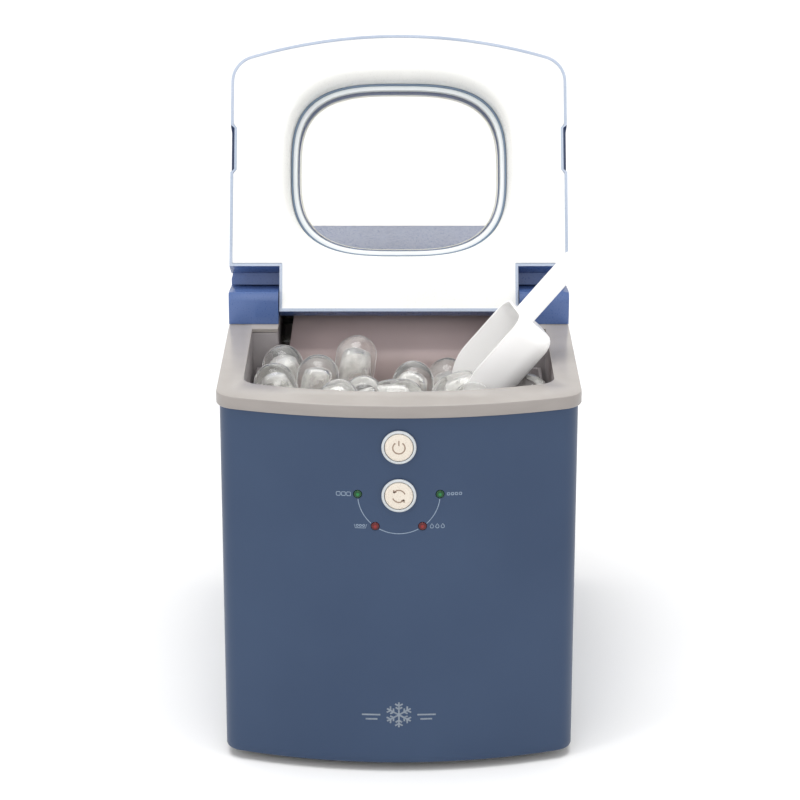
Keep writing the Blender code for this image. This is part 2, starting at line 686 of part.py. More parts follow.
def fan():
    y, z = FAN_CENTRE
    shroud = box("fan_shroud", (-0.0850, y - 0.054, z - 0.054), (-0.0700, y + 0.054, z + 0.054),
                 "black")
    cut(shroud, cylinder("shroud_bore", (-0.09, y, z), (-0.06, y, z), FAN_RADIUS + 0.002,
                         sides=40))
    axis = pivot("fan_axis", (-0.0775, y, z))
    blade = cylinder("fan_blade", (-0.0835, y, z), (-0.0715, y, z), 0.014, "black", sides=30)
    hang(axis, blade)
    for i in range(FAN_BLADES):
        vane = box("vane", (-0.0008, -0.0075, 0.012), (0.0008, 0.0075, FAN_RADIUS - 0.001))
        vane.parent = axis
        around = Matrix.Rotation(2 * math.pi * i / FAN_BLADES, 4, "X")
        vane.matrix_local = around @ Matrix.Rotation(math.radians(58), 4, "Z")
        join(blade, vane)
    turned("fan_motor", [(0, 0.034), (0.012, 0.034), (0.018, 0.030), (0.018, 0.004),
                         (0.010, 0.0), (0, 0.0)],
           (-0.0702, y, z), "steel", axis="X")


def pump_and_pipes():
    pump = turned("water_pump", [(0, 0.052), (0.005, 0.052), (0.005, 0.044), (0.018, 0.042),
                                 (0.018, 0.012), (0.014, 0.0097), (0, 0.0097)],
                  (-0.045, 0.024, 0), "white", sides=20)
    join(pump, cylinder("pump_inlet", (-0.045, 0.030, 0.022), (-0.045, 0.0, 0.022), 0.005,
                        sides=12))
    tube("water_hose", bent([(-0.045, 0.024, 0.0524), (-0.045, 0.024, 0.145),
                             (-0.1020, 0.030, 0.145), (-0.1020, 0.052, 0.236),
                             (-0.0790, 0.052, 0.236)], 0.012), 0.0035, "pane")
    tube("suction_tube", bent([(0.0704, 0.059, 0.2455), (0.1000, 0.059, 0.2455),
                               (0.1000, 0.052, 0.148), (0.0560, 0.070, 0.148),
                               (0.0560, 0.070, 0.1402)], 0.004), 0.0030, "copper")
    tube("discharge_tube", bent([(0.0300, 0.088, 0.1402), (0.0300, 0.088, 0.1500),
                                 (-0.1000, 0.094, 0.1500), (-0.1000, 0.094, 0.1304)], 0.006),
         0.0025, "copper")
    tube("liquid_tube", bent([(-0.1000, 0.118, 0.1304), (-0.1000, 0.118, 0.175),
                              (-0.1020, 0.071, 0.200), (-0.1020, 0.071, 0.2455),
                              (-0.0704, 0.071, 0.2455)], 0.010), 0.0020, "copper")


def drain():
    x, y, z = 0.082, -0.09, 0.030
    spout = cylinder("drain_spout", (x, y, z - 0.0075), (x, y, TANK_FLOOR - WALL - GAP), 0.0075,
                     "white", sides=20)
    join(spout, cylinder("spout_arm", (x, y, z), (0.1155, y, z), 0.0070, sides=20))
    cut(spout, cylinder("spout_bore", (x, y, z), (x, y, 0.07), 0.0050, sides=16),
        cylinder("arm_bore", (x, y, z), (0.13, y, z), 0.0050, sides=16))
    turned("drain_cap", [(0, 0.0), (0.0095, 0.0), (0.0095, -0.0017), (0.0078, -0.0019),
                         (0.0078, -0.0042), (0.0046, -0.0042), (0.0046, -0.016), (0, -0.017)],
           (HALF_WIDTH, y, z), "rubber", axis="X")


def ice_sensors():
    for side, sign in SIDES.items():
        x = mirrored(0.0815, BAY_HALF - GAP, sign)
        box(f"ice_level_sensor_{side}", (x[0], -0.001, 0.222), (x[1], 0.007, 0.234), "black")


# ---------------------------------------------------------------- controls
def boards():
    back = box("switch_board", (-0.034, -0.1646, 0.170), (0.034, -0.1630, 0.248), "board")
    for height in (ON_OFF_HEIGHT, SELECT_HEIGHT):
        join(back, box("tact_switch", (-0.003, -0.1662, height - 0.003),
                       (0.003, -0.1640, height + 0.003)))
    main = box("main_board", (-0.060, 0.070, 0.2680), (0.060, 0.150, 0.2696), "board")
    join(main, box("transformer", (-0.050, 0.080, 0.2690), (-0.022, 0.104, 0.2840)),
         box("relay", (0.000, 0.082, 0.2690), (0.018, 0.100, 0.2800)),
         cylinder("capacitor", (0.040, 0.095, 0.2690), (0.040, 0.095, 0.2840), 0.008, sides=16))
    for sign in SIDES.values():
        for y in (0.076, 0.144):
            join(main, box("standoff", (sign * 0.054 - 0.002, y - 0.002, TRIM_TOP + GAP),
                           (sign * 0.054 + 0.002, y + 0.002, 0.2685)))


def buttons():
    for name, height in (("on_off", ON_OFF_HEIGHT), ("select", SELECT_HEIGHT)):
        turned(f"{name}_ring",
               [(0.0097, 0.0013), (0.0108, 0.0013), (BUTTON_RING_RADIUS, 0.0004),
                (BUTTON_RING_RADIUS, -0.0001), (0.0105, -0.0001), (0.0105, -0.0060),
                (0.0097, -0.0060), (0.0097, 0.0013)],
               (0, -0.1774, height), "trim", axis="-Y", sides=32)
        turned(f"{name}_button",
               [(0, 0.0), (0.0080, -0.0001), (BUTTON_RADIUS, -0.0008), (BUTTON_RADIUS, -0.0100),
                (0.0030, -0.0100), (0.0030, -0.0110), (0, -0.0110)],
               (0, BUTTON_FACE, height), "cream", axis="-Y", sides=32)


def led_lenses():
    for name, (x, z) in LEDS.items():
        face = BOW_CENTRE - math.sqrt((BOW_RADIUS - BODY_INSET) ** 2 - x ** 2)
        colour = "green" if z > SELECT_HEIGHT else "red"
        turned(name, [(0, 0.0008), (0.0018, 0.0005), (LED_RADIUS, -0.0003),
                      (LED_RADIUS, -0.0080), (0, -0.0080)],
               (x, face, z), colour, axis="-Y", sides=16)


# ---------------------------------------------------------------- the whole
clear_scene()
PARTS = collection("ice_maker")
CUTTERS = collection("cutters")
base_and_feet()
front_panel()
side_panels()
rear_panel()
top_trim()
rear_cover()
lid()
water_tank()
ice_basket()
scoop()
evaporator_shield()
evaporator()
water_tray()
compressor()
condenser()
fan()
pump_and_pipes()
drain()
ice_sensors()
boards()
buttons()
led_lenses()
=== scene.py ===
"""Looks for the countertop bullet-ice maker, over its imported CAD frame.

Metres, +Z up, -Y the front.  Each piece is made in mesh code where the frame puts it, then rides on
a body of the frame.  Pieces of the lid are made with the lid shut, then opened about its hinge.
"""
import json
from math import atan2, ceil, copysign, cos, degrees, hypot, pi, radians, sin, sqrt
import random

import bmesh
import bpy
from mathutils import Matrix, Vector, noise

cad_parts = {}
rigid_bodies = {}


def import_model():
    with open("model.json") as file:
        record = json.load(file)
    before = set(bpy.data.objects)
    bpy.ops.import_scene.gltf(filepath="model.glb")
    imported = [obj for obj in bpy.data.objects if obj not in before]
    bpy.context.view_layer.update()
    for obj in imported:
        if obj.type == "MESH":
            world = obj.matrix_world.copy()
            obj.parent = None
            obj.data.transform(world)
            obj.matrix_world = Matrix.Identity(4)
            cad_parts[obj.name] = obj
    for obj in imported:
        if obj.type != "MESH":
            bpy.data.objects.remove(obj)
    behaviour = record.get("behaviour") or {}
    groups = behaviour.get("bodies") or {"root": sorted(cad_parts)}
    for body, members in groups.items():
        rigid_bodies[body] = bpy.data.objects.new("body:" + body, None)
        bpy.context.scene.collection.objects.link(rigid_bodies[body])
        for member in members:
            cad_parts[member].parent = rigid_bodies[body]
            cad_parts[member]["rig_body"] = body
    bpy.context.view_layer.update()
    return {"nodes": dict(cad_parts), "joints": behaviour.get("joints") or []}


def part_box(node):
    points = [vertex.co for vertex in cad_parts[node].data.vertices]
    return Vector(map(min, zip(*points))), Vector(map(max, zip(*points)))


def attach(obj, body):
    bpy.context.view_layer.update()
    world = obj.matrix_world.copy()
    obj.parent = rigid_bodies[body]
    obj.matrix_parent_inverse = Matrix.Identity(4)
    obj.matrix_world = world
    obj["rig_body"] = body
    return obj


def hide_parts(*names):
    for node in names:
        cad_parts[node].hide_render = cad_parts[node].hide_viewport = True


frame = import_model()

# ---------- sizes read from the frame
TRIM_LOW, TRIM_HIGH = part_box("top_trim")
BODY_LOW, BODY_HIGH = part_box("front_panel")
COVER_LOW, COVER_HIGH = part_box("rear_top_cover")
TANK_LOW, TANK_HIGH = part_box("water_tank")
BASKET_LOW, BASKET_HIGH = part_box("ice_basket")

HALF_WIDTH = TRIM_HIGH.x
FRONT = TRIM_LOW.y
REAR = TRIM_HIGH.y
TRIM_BOTTOM = TRIM_LOW.z
TRIM_TOP = TRIM_HIGH.z
BODY_INSET = HALF_WIDTH - BODY_HIGH.x
COVER_TOP = COVER_HIGH.z
HINGE = next(joint for joint in frame["joints"] if joint["name"] == "lid_hinge")
LID_OPENING = radians(HINGE["range_deg"][1])

# ---------- sizes of the moulded parts
BOW_CENTRE = 0.143                # y of the centre of the cabinet's bowed front
BOW_RADIUS = BOW_CENTRE - FRONT
CORNER_RADIUS = 0.017
SHEET = 0.0025                    # cabinet walls
TRIM_PLATE = 0.0025
SKIRT = 0.0017

OPENING_HALF = 0.104
OPENING_FRONT = -0.149
OPENING_BACK = -0.0076
OPENING_CORNER = 0.014
OPENING_BOW = 0.292
BAY_HALF = 0.0858
BAY_BACK = 0.112
BAY_FLOOR = 0.160
TANK_FLOOR = TANK_LOW.z + SHEET

COVER_CORNER = 0.004
COVER_ROOM = 0.1185               # half width of the hollows in it
NOTCH_BACK = 0.0425
NOTCH_FLOOR = 0.2818

LID_BOTTOM = 0.2640               # of the shut lid
LID_TOP = COVER_TOP
LID_FRONT = -0.1685
LID_BOW = 0.370
LID_CORNER = 0.020
LID_BACK = 0.0027
LID_EDGE = 0.0035                 # rounding of its upper edge
LID_WALL = 0.002
LID_SWING = 0.0195                # radius inside which the hinge blocks clear the lid
TONGUE_HALF = 0.0852
TONGUE_BACK = 0.0357
TONGUE_ROUND = 0.0115
WINDOW_CENTRE = -0.0720
WINDOW_HALF = (0.078, 0.0646)
WINDOW_POWER = 3.1
GRIP = (-0.1003, -0.0673)         # front and back of the finger grips
GRIP_EDGE = 0.1166                # where the liner ends beside them

ON_OFF_HEIGHT = 0.2345
SELECT_HEIGHT = 0.2009
DIAL_RADIUS = 0.0271              # of the printed arc that joins the lamps
LAMPS = ("led_large_ice", "led_small_ice", "led_bin_full", "led_add_water")
MARK_HEIGHT = 0.0426


# ---------- colours and procedural finishes
def srgb(red, green, blue):
    """A colour on the 0 to 255 screen scale as linear light."""
    def linear(value):
        value /= 255
        return value / 12.92 if value <= 0.04045 else ((value + 0.055) / 1.055) ** 2.4
    return linear(red), linear(green), linear(blue), 1.0


def fill(node, **values):
    """Set a node's sockets by their names, with _ for a space."""
    for socket, value in values.items():
        node.inputs[socket.replace("_", " ")].default_value = value


def noise_node(tree, scale, detail=3.0, stretch=(1, 1, 1)):
    """Noise over the piece's own coordinates, its cells drawn out by stretch."""
    place = tree.nodes.new("ShaderNodeTexCoord")
    mapping = tree.nodes.new("ShaderNodeMapping")
    fill(mapping, Scale=stretch)
    grain = tree.nodes.new("ShaderNodeTexNoise")
    fill(grain, Scale=scale, Detail=detail)
    tree.links.new(place.outputs["Object"], mapping.inputs["Vector"])
    tree.links.new(mapping.outputs["Vector"], grain.inputs["Vector"])
    return grain.outputs["Fac"]


def ramp(tree, source, *stops):
    """Colours along a value: each stop is (position, colour)."""
    node = tree.nodes.new("ShaderNodeValToRGB")
    elements = node.color_ramp.elements
    while len(elements) < len(stops):
        elements.new(0.5)
    for element, (position, colour) in zip(elements, stops):
        element.position = position
        element.color = colour
    tree.links.new(source, node.inputs["Fac"])
    return node.outputs["Color"]


def ranged(tree, source, low, high):
    node = tree.nodes.new("ShaderNodeMapRange")
    fill(node, From_Min=0.3, From_Max=0.7, To_Min=low, To_Max=high)
    tree.links.new(source, node.inputs["Value"])
    return node.outputs["Result"]


def finish(name, dark, light, rough, mottle=14, grain=900, bump=0.05, depth=0.0004,
           stretch=(1, 1, 1), **sockets):
    """A finish whose colour drifts between two tones, with grain in its roughness and height."""
    made = bpy.data.materials.new(name)
    made.use_nodes = True
    tree = made.node_tree
    shader = tree.nodes["Principled BSDF"]
    cloud = noise_node(tree, mottle, 4.0, stretch)
    fine = noise_node(tree, grain, 2.0, stretch)
    tree.links.new(ramp(tree, cloud, (0.35, dark), (0.65, light)), shader.inputs["Base Color"])
    tree.links.new(ranged(tree, fine, *rough), shader.inputs["Roughness"])
    lift = tree.nodes.new("ShaderNodeBump")
    fill(lift, Strength=bump, Distance=depth)
    tree.links.new(fine, lift.inputs["Height"])
    tree.links.new(lift.outputs["Normal"], shader.inputs["Normal"])
    fill(shader, **sockets)
    return made


def speckled(name, ground, speck, rough):
    """Button plastic: a warm ground with fine darker flecks."""
    made = finish(name, ground, ground, rough, grain=2200, bump=0.12)
    tree = made.node_tree
    flecks = ramp(tree, noise_node(tree, 1700, 2.0), (0.34, speck), (0.46, ground))
    tree.links.new(flecks, tree.nodes["Principled BSDF"].inputs["Base Color"])
    return made


def lamp_finish(name, centre, core, rim):
    """A lamp lens: lighter at its centre as painted light and darker towards its edge as painted
    shade.
    """
    made = finish(name, rim, core, (0.08, 0.14), grain=1500, bump=0.02)
    tree = made.node_tree
    shader = tree.nodes["Principled BSDF"]
    place = tree.nodes.new("ShaderNodeTexCoord")
    reach = tree.nodes.new("ShaderNodeVectorMath")
    reach.operation = "DISTANCE"
    reach.inputs[1].default_value = centre
    spread = tree.nodes.new("ShaderNodeMapRange")
    fill(spread, From_Max=0.0027)
    tree.links.new(place.outputs["Object"], reach.inputs[0])
    tree.links.new(reach.outputs["Value"], spread.inputs["Value"])
    # painted light at the lens centre, painted shade towards its edge
    tones = ramp(tree, spread.outputs["Result"], (0.16, core), (0.55, rim))
    tree.links.new(tones, shader.inputs["Base Color"])
    fill(shader, Coat_Weight=0.3, Specular_IOR_Level=0.25)
    return made


def ice_finish(name, clear, bend):
    """Clear ice with cloudy wisps and a melted, slightly rippled skin."""
    made = finish(name, srgb(252, 251, 248), srgb(255, 255, 253), (0.02, 0.10), mottle=90,
                  grain=75, bump=0.45, depth=0.0016, IOR=bend, Coat_Weight=0.6,
                  Sheen_Weight=0.8, Sheen_Roughness=0.3)
    tree = made.node_tree
    shader = tree.nodes["Principled BSDF"]
    wisps = ranged(tree, noise_node(tree, 85, 3.0), *clear)
    tree.links.new(wisps, shader.inputs["Transmission Weight"])
    return made


# the two tones, the range of roughness, and what else is not as usual
PLAIN_FINISHES = {
    "blue_shell": ((73, 97, 147), (78, 102, 152), (0.27, 0.29), dict(bump=0.002)),
    "grey_trim": ((142, 136, 132), (148, 142, 138), (0.32, 0.36),
        dict(mottle=30, grain=1200, bump=0.012, stretch=(1, 1, 2.5))),
    "white_plastic": ((234, 234, 231), (239, 239, 236), (0.26, 0.34), dict(bump=0.04)),
    "bin_plastic": ((128, 122, 123), (136, 131, 132), (0.3, 0.4),
        dict(mottle=20, bump=0.08, stretch=(1, 1, 0.25))),
    "smoked_plastic": ((190, 171, 169), (200, 182, 180), (0.42, 0.52),
        dict(mottle=9, bump=0.04, stretch=(1, 1, 0.2))),
    "clear_pane": ((252, 249, 243), (255, 253, 248), (0.0, 0.004),
        dict(grain=60, bump=0.002, Transmission_Weight=0.94, IOR=1.2)),
    "gasket_rubber": ((104, 122, 142), (112, 130, 150), (0.45, 0.6), dict(bump=0.1)),
    "zinc_steel": ((176, 178, 180), (196, 197, 199), (0.22, 0.36),
        dict(mottle=60, bump=0.1, Metallic=1.0)),
    "fin_aluminium": ((198, 199, 200), (214, 215, 217), (0.25, 0.4),
        dict(grain=700, bump=0.1, stretch=(0.2, 1, 1), Metallic=1.0)),
    "nickel_plate": ((186, 180, 170), (206, 200, 190), (0.1, 0.22), dict(Metallic=1.0)),
    "copper_pipe": ((176, 104, 70), (205, 128, 92), (0.2, 0.38),
        dict(mottle=50, bump=0.08, Metallic=1.0)),
    "black_plastic": ((30, 31, 33), (38, 39, 41), (0.45, 0.6), dict(bump=0.25, depth=0.0006)),
    "compressor_paint": ((18, 18, 20), (28, 28, 30), (0.22, 0.34),
        dict(mottle=40, grain=350, bump=0.15)),
    "black_rubber": ((34, 34, 35), (44, 44, 45), (0.7, 0.85), dict(bump=0.3, depth=0.0006)),
    "circuit_board": ((26, 96, 48), (34, 122, 62), (0.3, 0.5), dict(mottle=220, bump=0.15)),
    "cabinet_paint": ((42, 61, 89), (46, 65, 93), (0.34, 0.42),
        dict(mottle=10, grain=1100, bump=0.07, Specular_IOR_Level=0.35)),
    # painted light: a lighter, glossier copy of the grey trim for its upward faces, standing for
    # the overhead light on them
    "trim_top_painted_light": ((164, 158, 153), (170, 164, 159), (0.24, 0.27),
        dict(mottle=30, grain=1200, bump=0.012)),
    "bezel_plastic": ((224, 228, 229), (232, 235, 236), (0.2, 0.28), dict(bump=0.04)),
    # painted shade: a dark, matt navy standing for the shadow inside the finger grips
    "grip_painted_shade": ((30, 46, 78), (34, 51, 84), (0.6, 0.7),
        dict(bump=0.1, Specular_IOR_Level=0.05)),
    # painted highlight: this pale tone stands for light caught on the lid shell's cut edge
    "rim_painted_highlight": ((164, 175, 192), (175, 184, 200), (0.24, 0.34), {}),
    "ring_plastic": ((182, 186, 189), (191, 195, 198), (0.22, 0.3), {}),
    "brown_ink": ((132, 112, 98), (146, 126, 110), (0.5, 0.6), dict(mottle=900, bump=0.1)),
    "pale_ink": ((118, 134, 154), (134, 149, 167), (0.45, 0.6), dict(mottle=700, bump=0.1)),
    "silver_ink": ((112, 122, 134), (128, 137, 148), (0.3, 0.45), dict(mottle=400, bump=0.1)),
    "scoop_plastic": ((239, 238, 237), (244, 243, 242), (0.3, 0.38), dict(bump=0.04)),
}
FINISHES = {name: finish(name, srgb(*dark), srgb(*light), rough, **rest)
            for name, (dark, light, rough, rest) in PLAIN_FINISHES.items()}
FINISHES["cream_plastic"] = speckled("cream_plastic", srgb(214, 205, 192), srgb(190, 177, 162),
                                     (0.42, 0.52))
FINISHES["ice"] = ice_finish("ice", (0.76, 1.0), 1.19)
FINISHES["ice_core"] = ice_finish("ice_core", (0.20, 1.0), 1.25)
FINISHES["ice_packed"] = ice_finish("ice_packed", (0.0, 0.4), 1.31)


# ---------- outlines
def arc(centre, radius, start, end, steps):
    """Points round an arc, its angles in degrees."""
    angles = [radians(start + (end - start) * i / steps) for i in range(steps + 1)]
    return [(centre[0] + radius * cos(a), centre[1] + radius * sin(a)) for a in angles]


def bowed_front(half, front, bow, corner, back, steps=56):
    """A plan outline from back left, round the bowed front, to back right."""
    bow_y = front + bow
    side = half - corner
    corner_y = bow_y - sqrt((bow - corner) ** 2 - side ** 2)
    lean = degrees(atan2(side, bow_y - corner_y))
    left = arc((-side, corner_y), corner, 180, 270 - lean, 12)
    bowed = arc((0, bow_y), bow, 270 - lean, 270 + lean, steps)
    right = arc((side, corner_y), corner, 270 + lean, 360, 12)
    return [(-half, back)] + left + bowed[1:-1] + right + [(half, back)]


def cabinet_plan(inset, back):
    return bowed_front(HALF_WIDTH - inset, FRONT + inset, BOW_RADIUS - inset,
                       CORNER_RADIUS - inset, back)


def opening_plan(grow, back):
    return bowed_front(OPENING_HALF + grow, OPENING_FRONT - grow, OPENING_BOW + grow,
                       OPENING_CORNER + grow, back)


def lid_plan(inset, back):
    return bowed_front(HALF_WIDTH - inset, LID_FRONT + inset, LID_BOW - inset,
                       LID_CORNER - inset, back)


def superellipse(half_x, half_y, steps=96):
    """The window's outline: squarer than an ellipse, rounder than a box."""
    def eased(value):
        return copysign(abs(value) ** (2 / WINDOW_POWER), value)
    angles = [2 * pi * i / steps for i in range(steps)]
    return [(half_x * eased(cos(a)), WINDOW_CENTRE + half_y * eased(sin(a)))
            for a in angles]


def at_height(outline, z):
    return [(x, y, z) for x, y in outline]


def rounding(edge, top, angles):
    """(inset, height) up an edge that is rounded over to the level of top."""
    return [(edge * (1 - cos(radians(a))), top - edge + edge * sin(radians(a)))
            for a in angles]


def rounded_box(centre, half_u, half_v, corner, steps):
    """A rectangle's outline with its corners rounded."""
    outline = []
    for u, v, start in ((1, 1, 0), (-1, 1, 90), (-1, -1, 180), (1, -1, 270)):
        turn = (centre[0] + u * (half_u - corner), centre[1] + v * (half_v - corner))
        outline += arc(turn, corner, start, start + 90, steps)
    return outline


def round_topped(half, low, top, corner, lean=0, steps=10):
    """A front view with its upper corners rounded, leaving the sides at an angle of lean."""
    left = arc((-half + corner, top - corner), corner, 180 - lean, 90, steps)
    right = arc((half - corner, top - corner), corner, 90, lean, steps)
    return [(-half, low)] + left + right + [(half, low)]


# ---------- raw bodies, before finishing
def add_object(name, data):
    item = bpy.data.objects.new(name, data)
    bpy.context.scene.collection.objects.link(item)
    return item


def raw(name, work):
    bmesh.ops.recalc_face_normals(work, faces=work.faces)
    mesh = bpy.data.meshes.new(name)
    work.to_mesh(mesh)
    work.free()
    return add_object(name, mesh)


def skin(name, rings, capped=True, round_trip=True):
    """A body skinned over rings of points that all have the same count."""
    work = bmesh.new()
    loops = [[work.verts.new(point) for point in ring] for ring in rings]
    for a, b in zip(loops, loops[1:]):
        last = len(a) if round_trip else len(a) - 1
        for i in range(last):
            j = (i + 1) % len(a)
            work.faces.new((a[i], a[j], b[j], b[i]))
    if capped:
        work.faces.new(loops[0][::-1])
        work.faces.new(loops[-1])
    return raw(name, work)


SIDE_VIEW = {"X": lambda u, v, w: (w, u, v), "Y": lambda u, v, w: (u, w, v),
             "Z": lambda u, v, w: (u, v, w)}


def prism(name, outline, low, high, axis="Z"):
    """A flat outline given thickness along an axis.  X outlines are (y, z), Y outlines (x, z)."""
    turn = SIDE_VIEW[axis]
    return skin(name, [[turn(u, v, w) for u, v in outline] for w in (low, high)])


def block(name, low, high):
    corners = [(low[0], low[1]), (high[0], low[1]), (high[0], high[1]), (low[0], high[1])]
    return prism(name, corners, low[2], high[2])


def rod(name, start, end, radius, sides=32):
    along = Vector(end) - Vector(start)
    turn = along.to_track_quat("Z", "Y").to_matrix().to_4x4()
    circle = arc((0, 0), radius, 0, 360 - 360 / sides, sides - 1)
    rings = [[Vector(start) + turn @ Vector((x, y, z)) for x, y in circle]
             for z in (0, along.length)]
    return skin(name, rings)


def lathe(name, profile, place, sides):
    """A turned body facing the front.  The profile is (radius, distance out) from its back."""
    turn = Vector((0, -1, 0)).to_track_quat("Z", "Y").to_matrix()
    rings = []
    for radius, height in profile:
        circle = arc((0, 0), max(radius, 1e-5), 0, 360 - 360 / sides, sides - 1)
        rings.append([Vector(place) + turn @ Vector((x, y, height)) for x, y in circle])
    return skin(name, rings)


def combine(target, operation, others):
    for other in others:
        modifier = target.modifiers.new(operation.lower(), "BOOLEAN")
        modifier.operation = operation
        modifier.object = other
        other.hide_render = True


def cut(target, *cutters):
    combine(target, "DIFFERENCE", cutters)
    return target


def join(target, *pieces):
    combine(target, "UNION", pieces)
    return target


def soften(item, width, segments=3, angle=40):
    """Round the sharp edges, then let the large faces decide the shading."""
    bevel = item.modifiers.new("bevel", "BEVEL")
    bevel.width = width
    bevel.segments = segments
    bevel.limit_method = "ANGLE"
    bevel.angle_limit = radians(angle)
    bevel.miter_outer = "MITER_ARC"
    weighted = item.modifiers.new("weighted", "WEIGHTED_NORMAL")
    weighted.keep_sharp = True
    return item


def thicken(item, thickness, offset=-1):
    solid = item.modifiers.new("thickness", "SOLIDIFY")
    solid.thickness = thickness
    solid.offset = offset
    solid.use_even_offset = True
    return item


# ---------- finished pieces
def add_finishes(item, *names):
    for name in names:
        item.data.materials.append(FINISHES[name])


def middle(node):
    """The centre of a frame node's box."""
    return [(a + b) / 2 for a, b in zip(*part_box(node))]


def sweep_helpers(keep):
    """Remove the cutters and raw bodies once a piece has been made from them."""
    for item in list(bpy.context.scene.collection.objects):
        if item.type == "MESH" and item not in keep and "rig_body" not in item:
            if "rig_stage" not in item:
                bpy.data.objects.remove(item, do_unlink=True)


def settle(name, item, finish_name, slot, body, *nodes, place=None, crisp=42):
    """Apply the modifiers, shade, paint and mount a piece, and drop what it was made from."""
    graph = bpy.context.evaluated_depsgraph_get()
    mesh = bpy.data.meshes.new_from_object(item.evaluated_get(graph))
    mesh.name = name
    if place is not None:
        mesh.transform(place)
    mesh.materials.clear()
    mesh.materials.append(FINISHES[finish_name])
    weighted = any(modifier.type == "WEIGHTED_NORMAL" for modifier in item.modifiers)
    mesh.shade_smooth()
    if not weighted:
        mesh.set_sharp_from_angle(angle=radians(crisp))
    made = add_object(name, mesh)
    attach(made, body)
    if nodes:
        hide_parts(*nodes)
    sweep_helpers({made})
    return made


def opened():
    """Turns what was made with the lid shut to where the open lid is."""
    hinge = Vector(HINGE["pos_m"])
    turn = Matrix.Rotation(-LID_OPENING, 4, Vector(HINGE["axis"]))
    return Matrix.Translation(hinge) @ turn @ Matrix.Translation(-hinge)


# ---------- cabinet
def front_surface(x, proud=0.0):
    """y of the cabinet's painted front at x."""
    radius = BOW_RADIUS - BODY_INSET + proud
    return BOW_CENTRE - sqrt(radius ** 2 - x ** 2)


def cabinet_front():
    low, high = BODY_LOW.z, BODY_HIGH.z
    foot = 0.0018
    levels = [(foot, low), (foot * 0.3, low + foot * 0.3), (0, low + foot),
              (0, low + foot * 3), (0, high - foot), (0, high)]
    rings = [at_height(cabinet_plan(BODY_INSET + inset, BODY_HIGH.y), z) for inset, z in levels]
    inner = prism("room", cabinet_plan(BODY_INSET + SHEET, BODY_HIGH.y + 0.01), low - 0.01,
                  high + 0.01)
    shell = cut(skin("front", rings), inner)
    holes = [(0, height, 0.0109, 32) for height in (ON_OFF_HEIGHT, SELECT_HEIGHT)]
    holes += [(*lamp_centre(lamp), 0.0030, 20) for lamp in LAMPS]
    for x, z, radius, sides in holes:
        cut(shell, rod("hole", (x, FRONT - 0.01, z), (x, FRONT + 0.03, z), radius, sides))
    settle("cabinet_front_skin", shell, "cabinet_paint", "blue_shell", "cabinet", "front_panel")


def stadium(y_low, y_high, z, radius):
    left = arc((y_low + radius, z), radius, 90, 270, 6)
    right = arc((y_high - radius, z), radius, -90, 90, 6)
    return left + right


def cabinet_sides():
    for side in ("left", "right"):
        low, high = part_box(f"{side}_side_panel")
        panel = block("panel", (low.x, low.y, low.z), (high.x, high.y, high.z))
        for i in range(10):
            z = 0.036 + 0.010 * i
            cut(panel, prism("vent", stadium(0.030, 0.126, z, 0.0022), low.x - 0.01,
                             high.x + 0.01, "X"))
        if side == "right":
            _, y, z = middle("drain_cap")
            cut(panel, rod("hole", (low.x - 0.01, y, z), (high.x + 0.01, y, z), 0.0084))
        settle(f"cabinet_{side}_skin", panel, "cabinet_paint", "blue_shell", "cabinet",
               f"{side}_side_panel", crisp=35)


def cabinet_rear():
    low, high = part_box("rear_panel")
    panel = block("rear", low, high)
    for i in range(8):
        z = 0.1225 + 0.012 * i
        cut(panel, prism("grille", stadium(-0.080, 0.080, z, 0.0025), low.y - 0.01,
                         high.y + 0.01, "Y"))
    holes = [("cord_gland", 0.0078, 32)]
    holes += [(f"rear_screw_{end}_{side}", 0.0020, 16) for side in ("left", "right")
              for end in ("lower", "upper")]
    for node, radius, sides in holes:
        x, _, z = middle(node)
        cut(panel, rod("hole", (x, low.y - 0.01, z), (x, high.y + 0.01, z), radius, sides))
    settle("cabinet_rear_skin", panel, "black_plastic", "black_plastic", "cabinet", "rear_panel",
           crisp=35)


def top_trim():
    edge = 0.0009
    levels = [(0.0005, TRIM_BOTTOM), (0, TRIM_BOTTOM + 0.0006), (0, TRIM_TOP - edge)]
    levels += rounding(edge, TRIM_TOP, (22, 45, 68, 90))
    rings = [at_height(cabinet_plan(inset, REAR), z) for inset, z in levels]
    trim = skin("trim", rings)
    cut(trim, prism("under", cabinet_plan(SKIRT, REAR - SKIRT), TRIM_BOTTOM - 0.01,
                    TRIM_TOP - TRIM_PLATE),
        prism("mouth", opening_plan(0, OPENING_BACK), TRIM_BOTTOM - 0.01, TRIM_TOP + 0.01),
        block("bay", (-BAY_HALF, OPENING_BACK - 0.001, TRIM_BOTTOM - 0.01),
              (BAY_HALF, 0.046, TRIM_TOP + 0.01)))
    soften(trim, 0.0006)
    made = settle("top_trim_skin", trim, "grey_trim", "grey_trim", "cabinet", "top_trim")
    # The upward faces take the lighter copy of the trim finish: painted light from overhead.
    add_finishes(made, "trim_top_painted_light")
    for face in made.data.polygons:
        face.material_index = int(face.normal.z > 0.8 and face.center.z > TRIM_TOP - 0.0002)


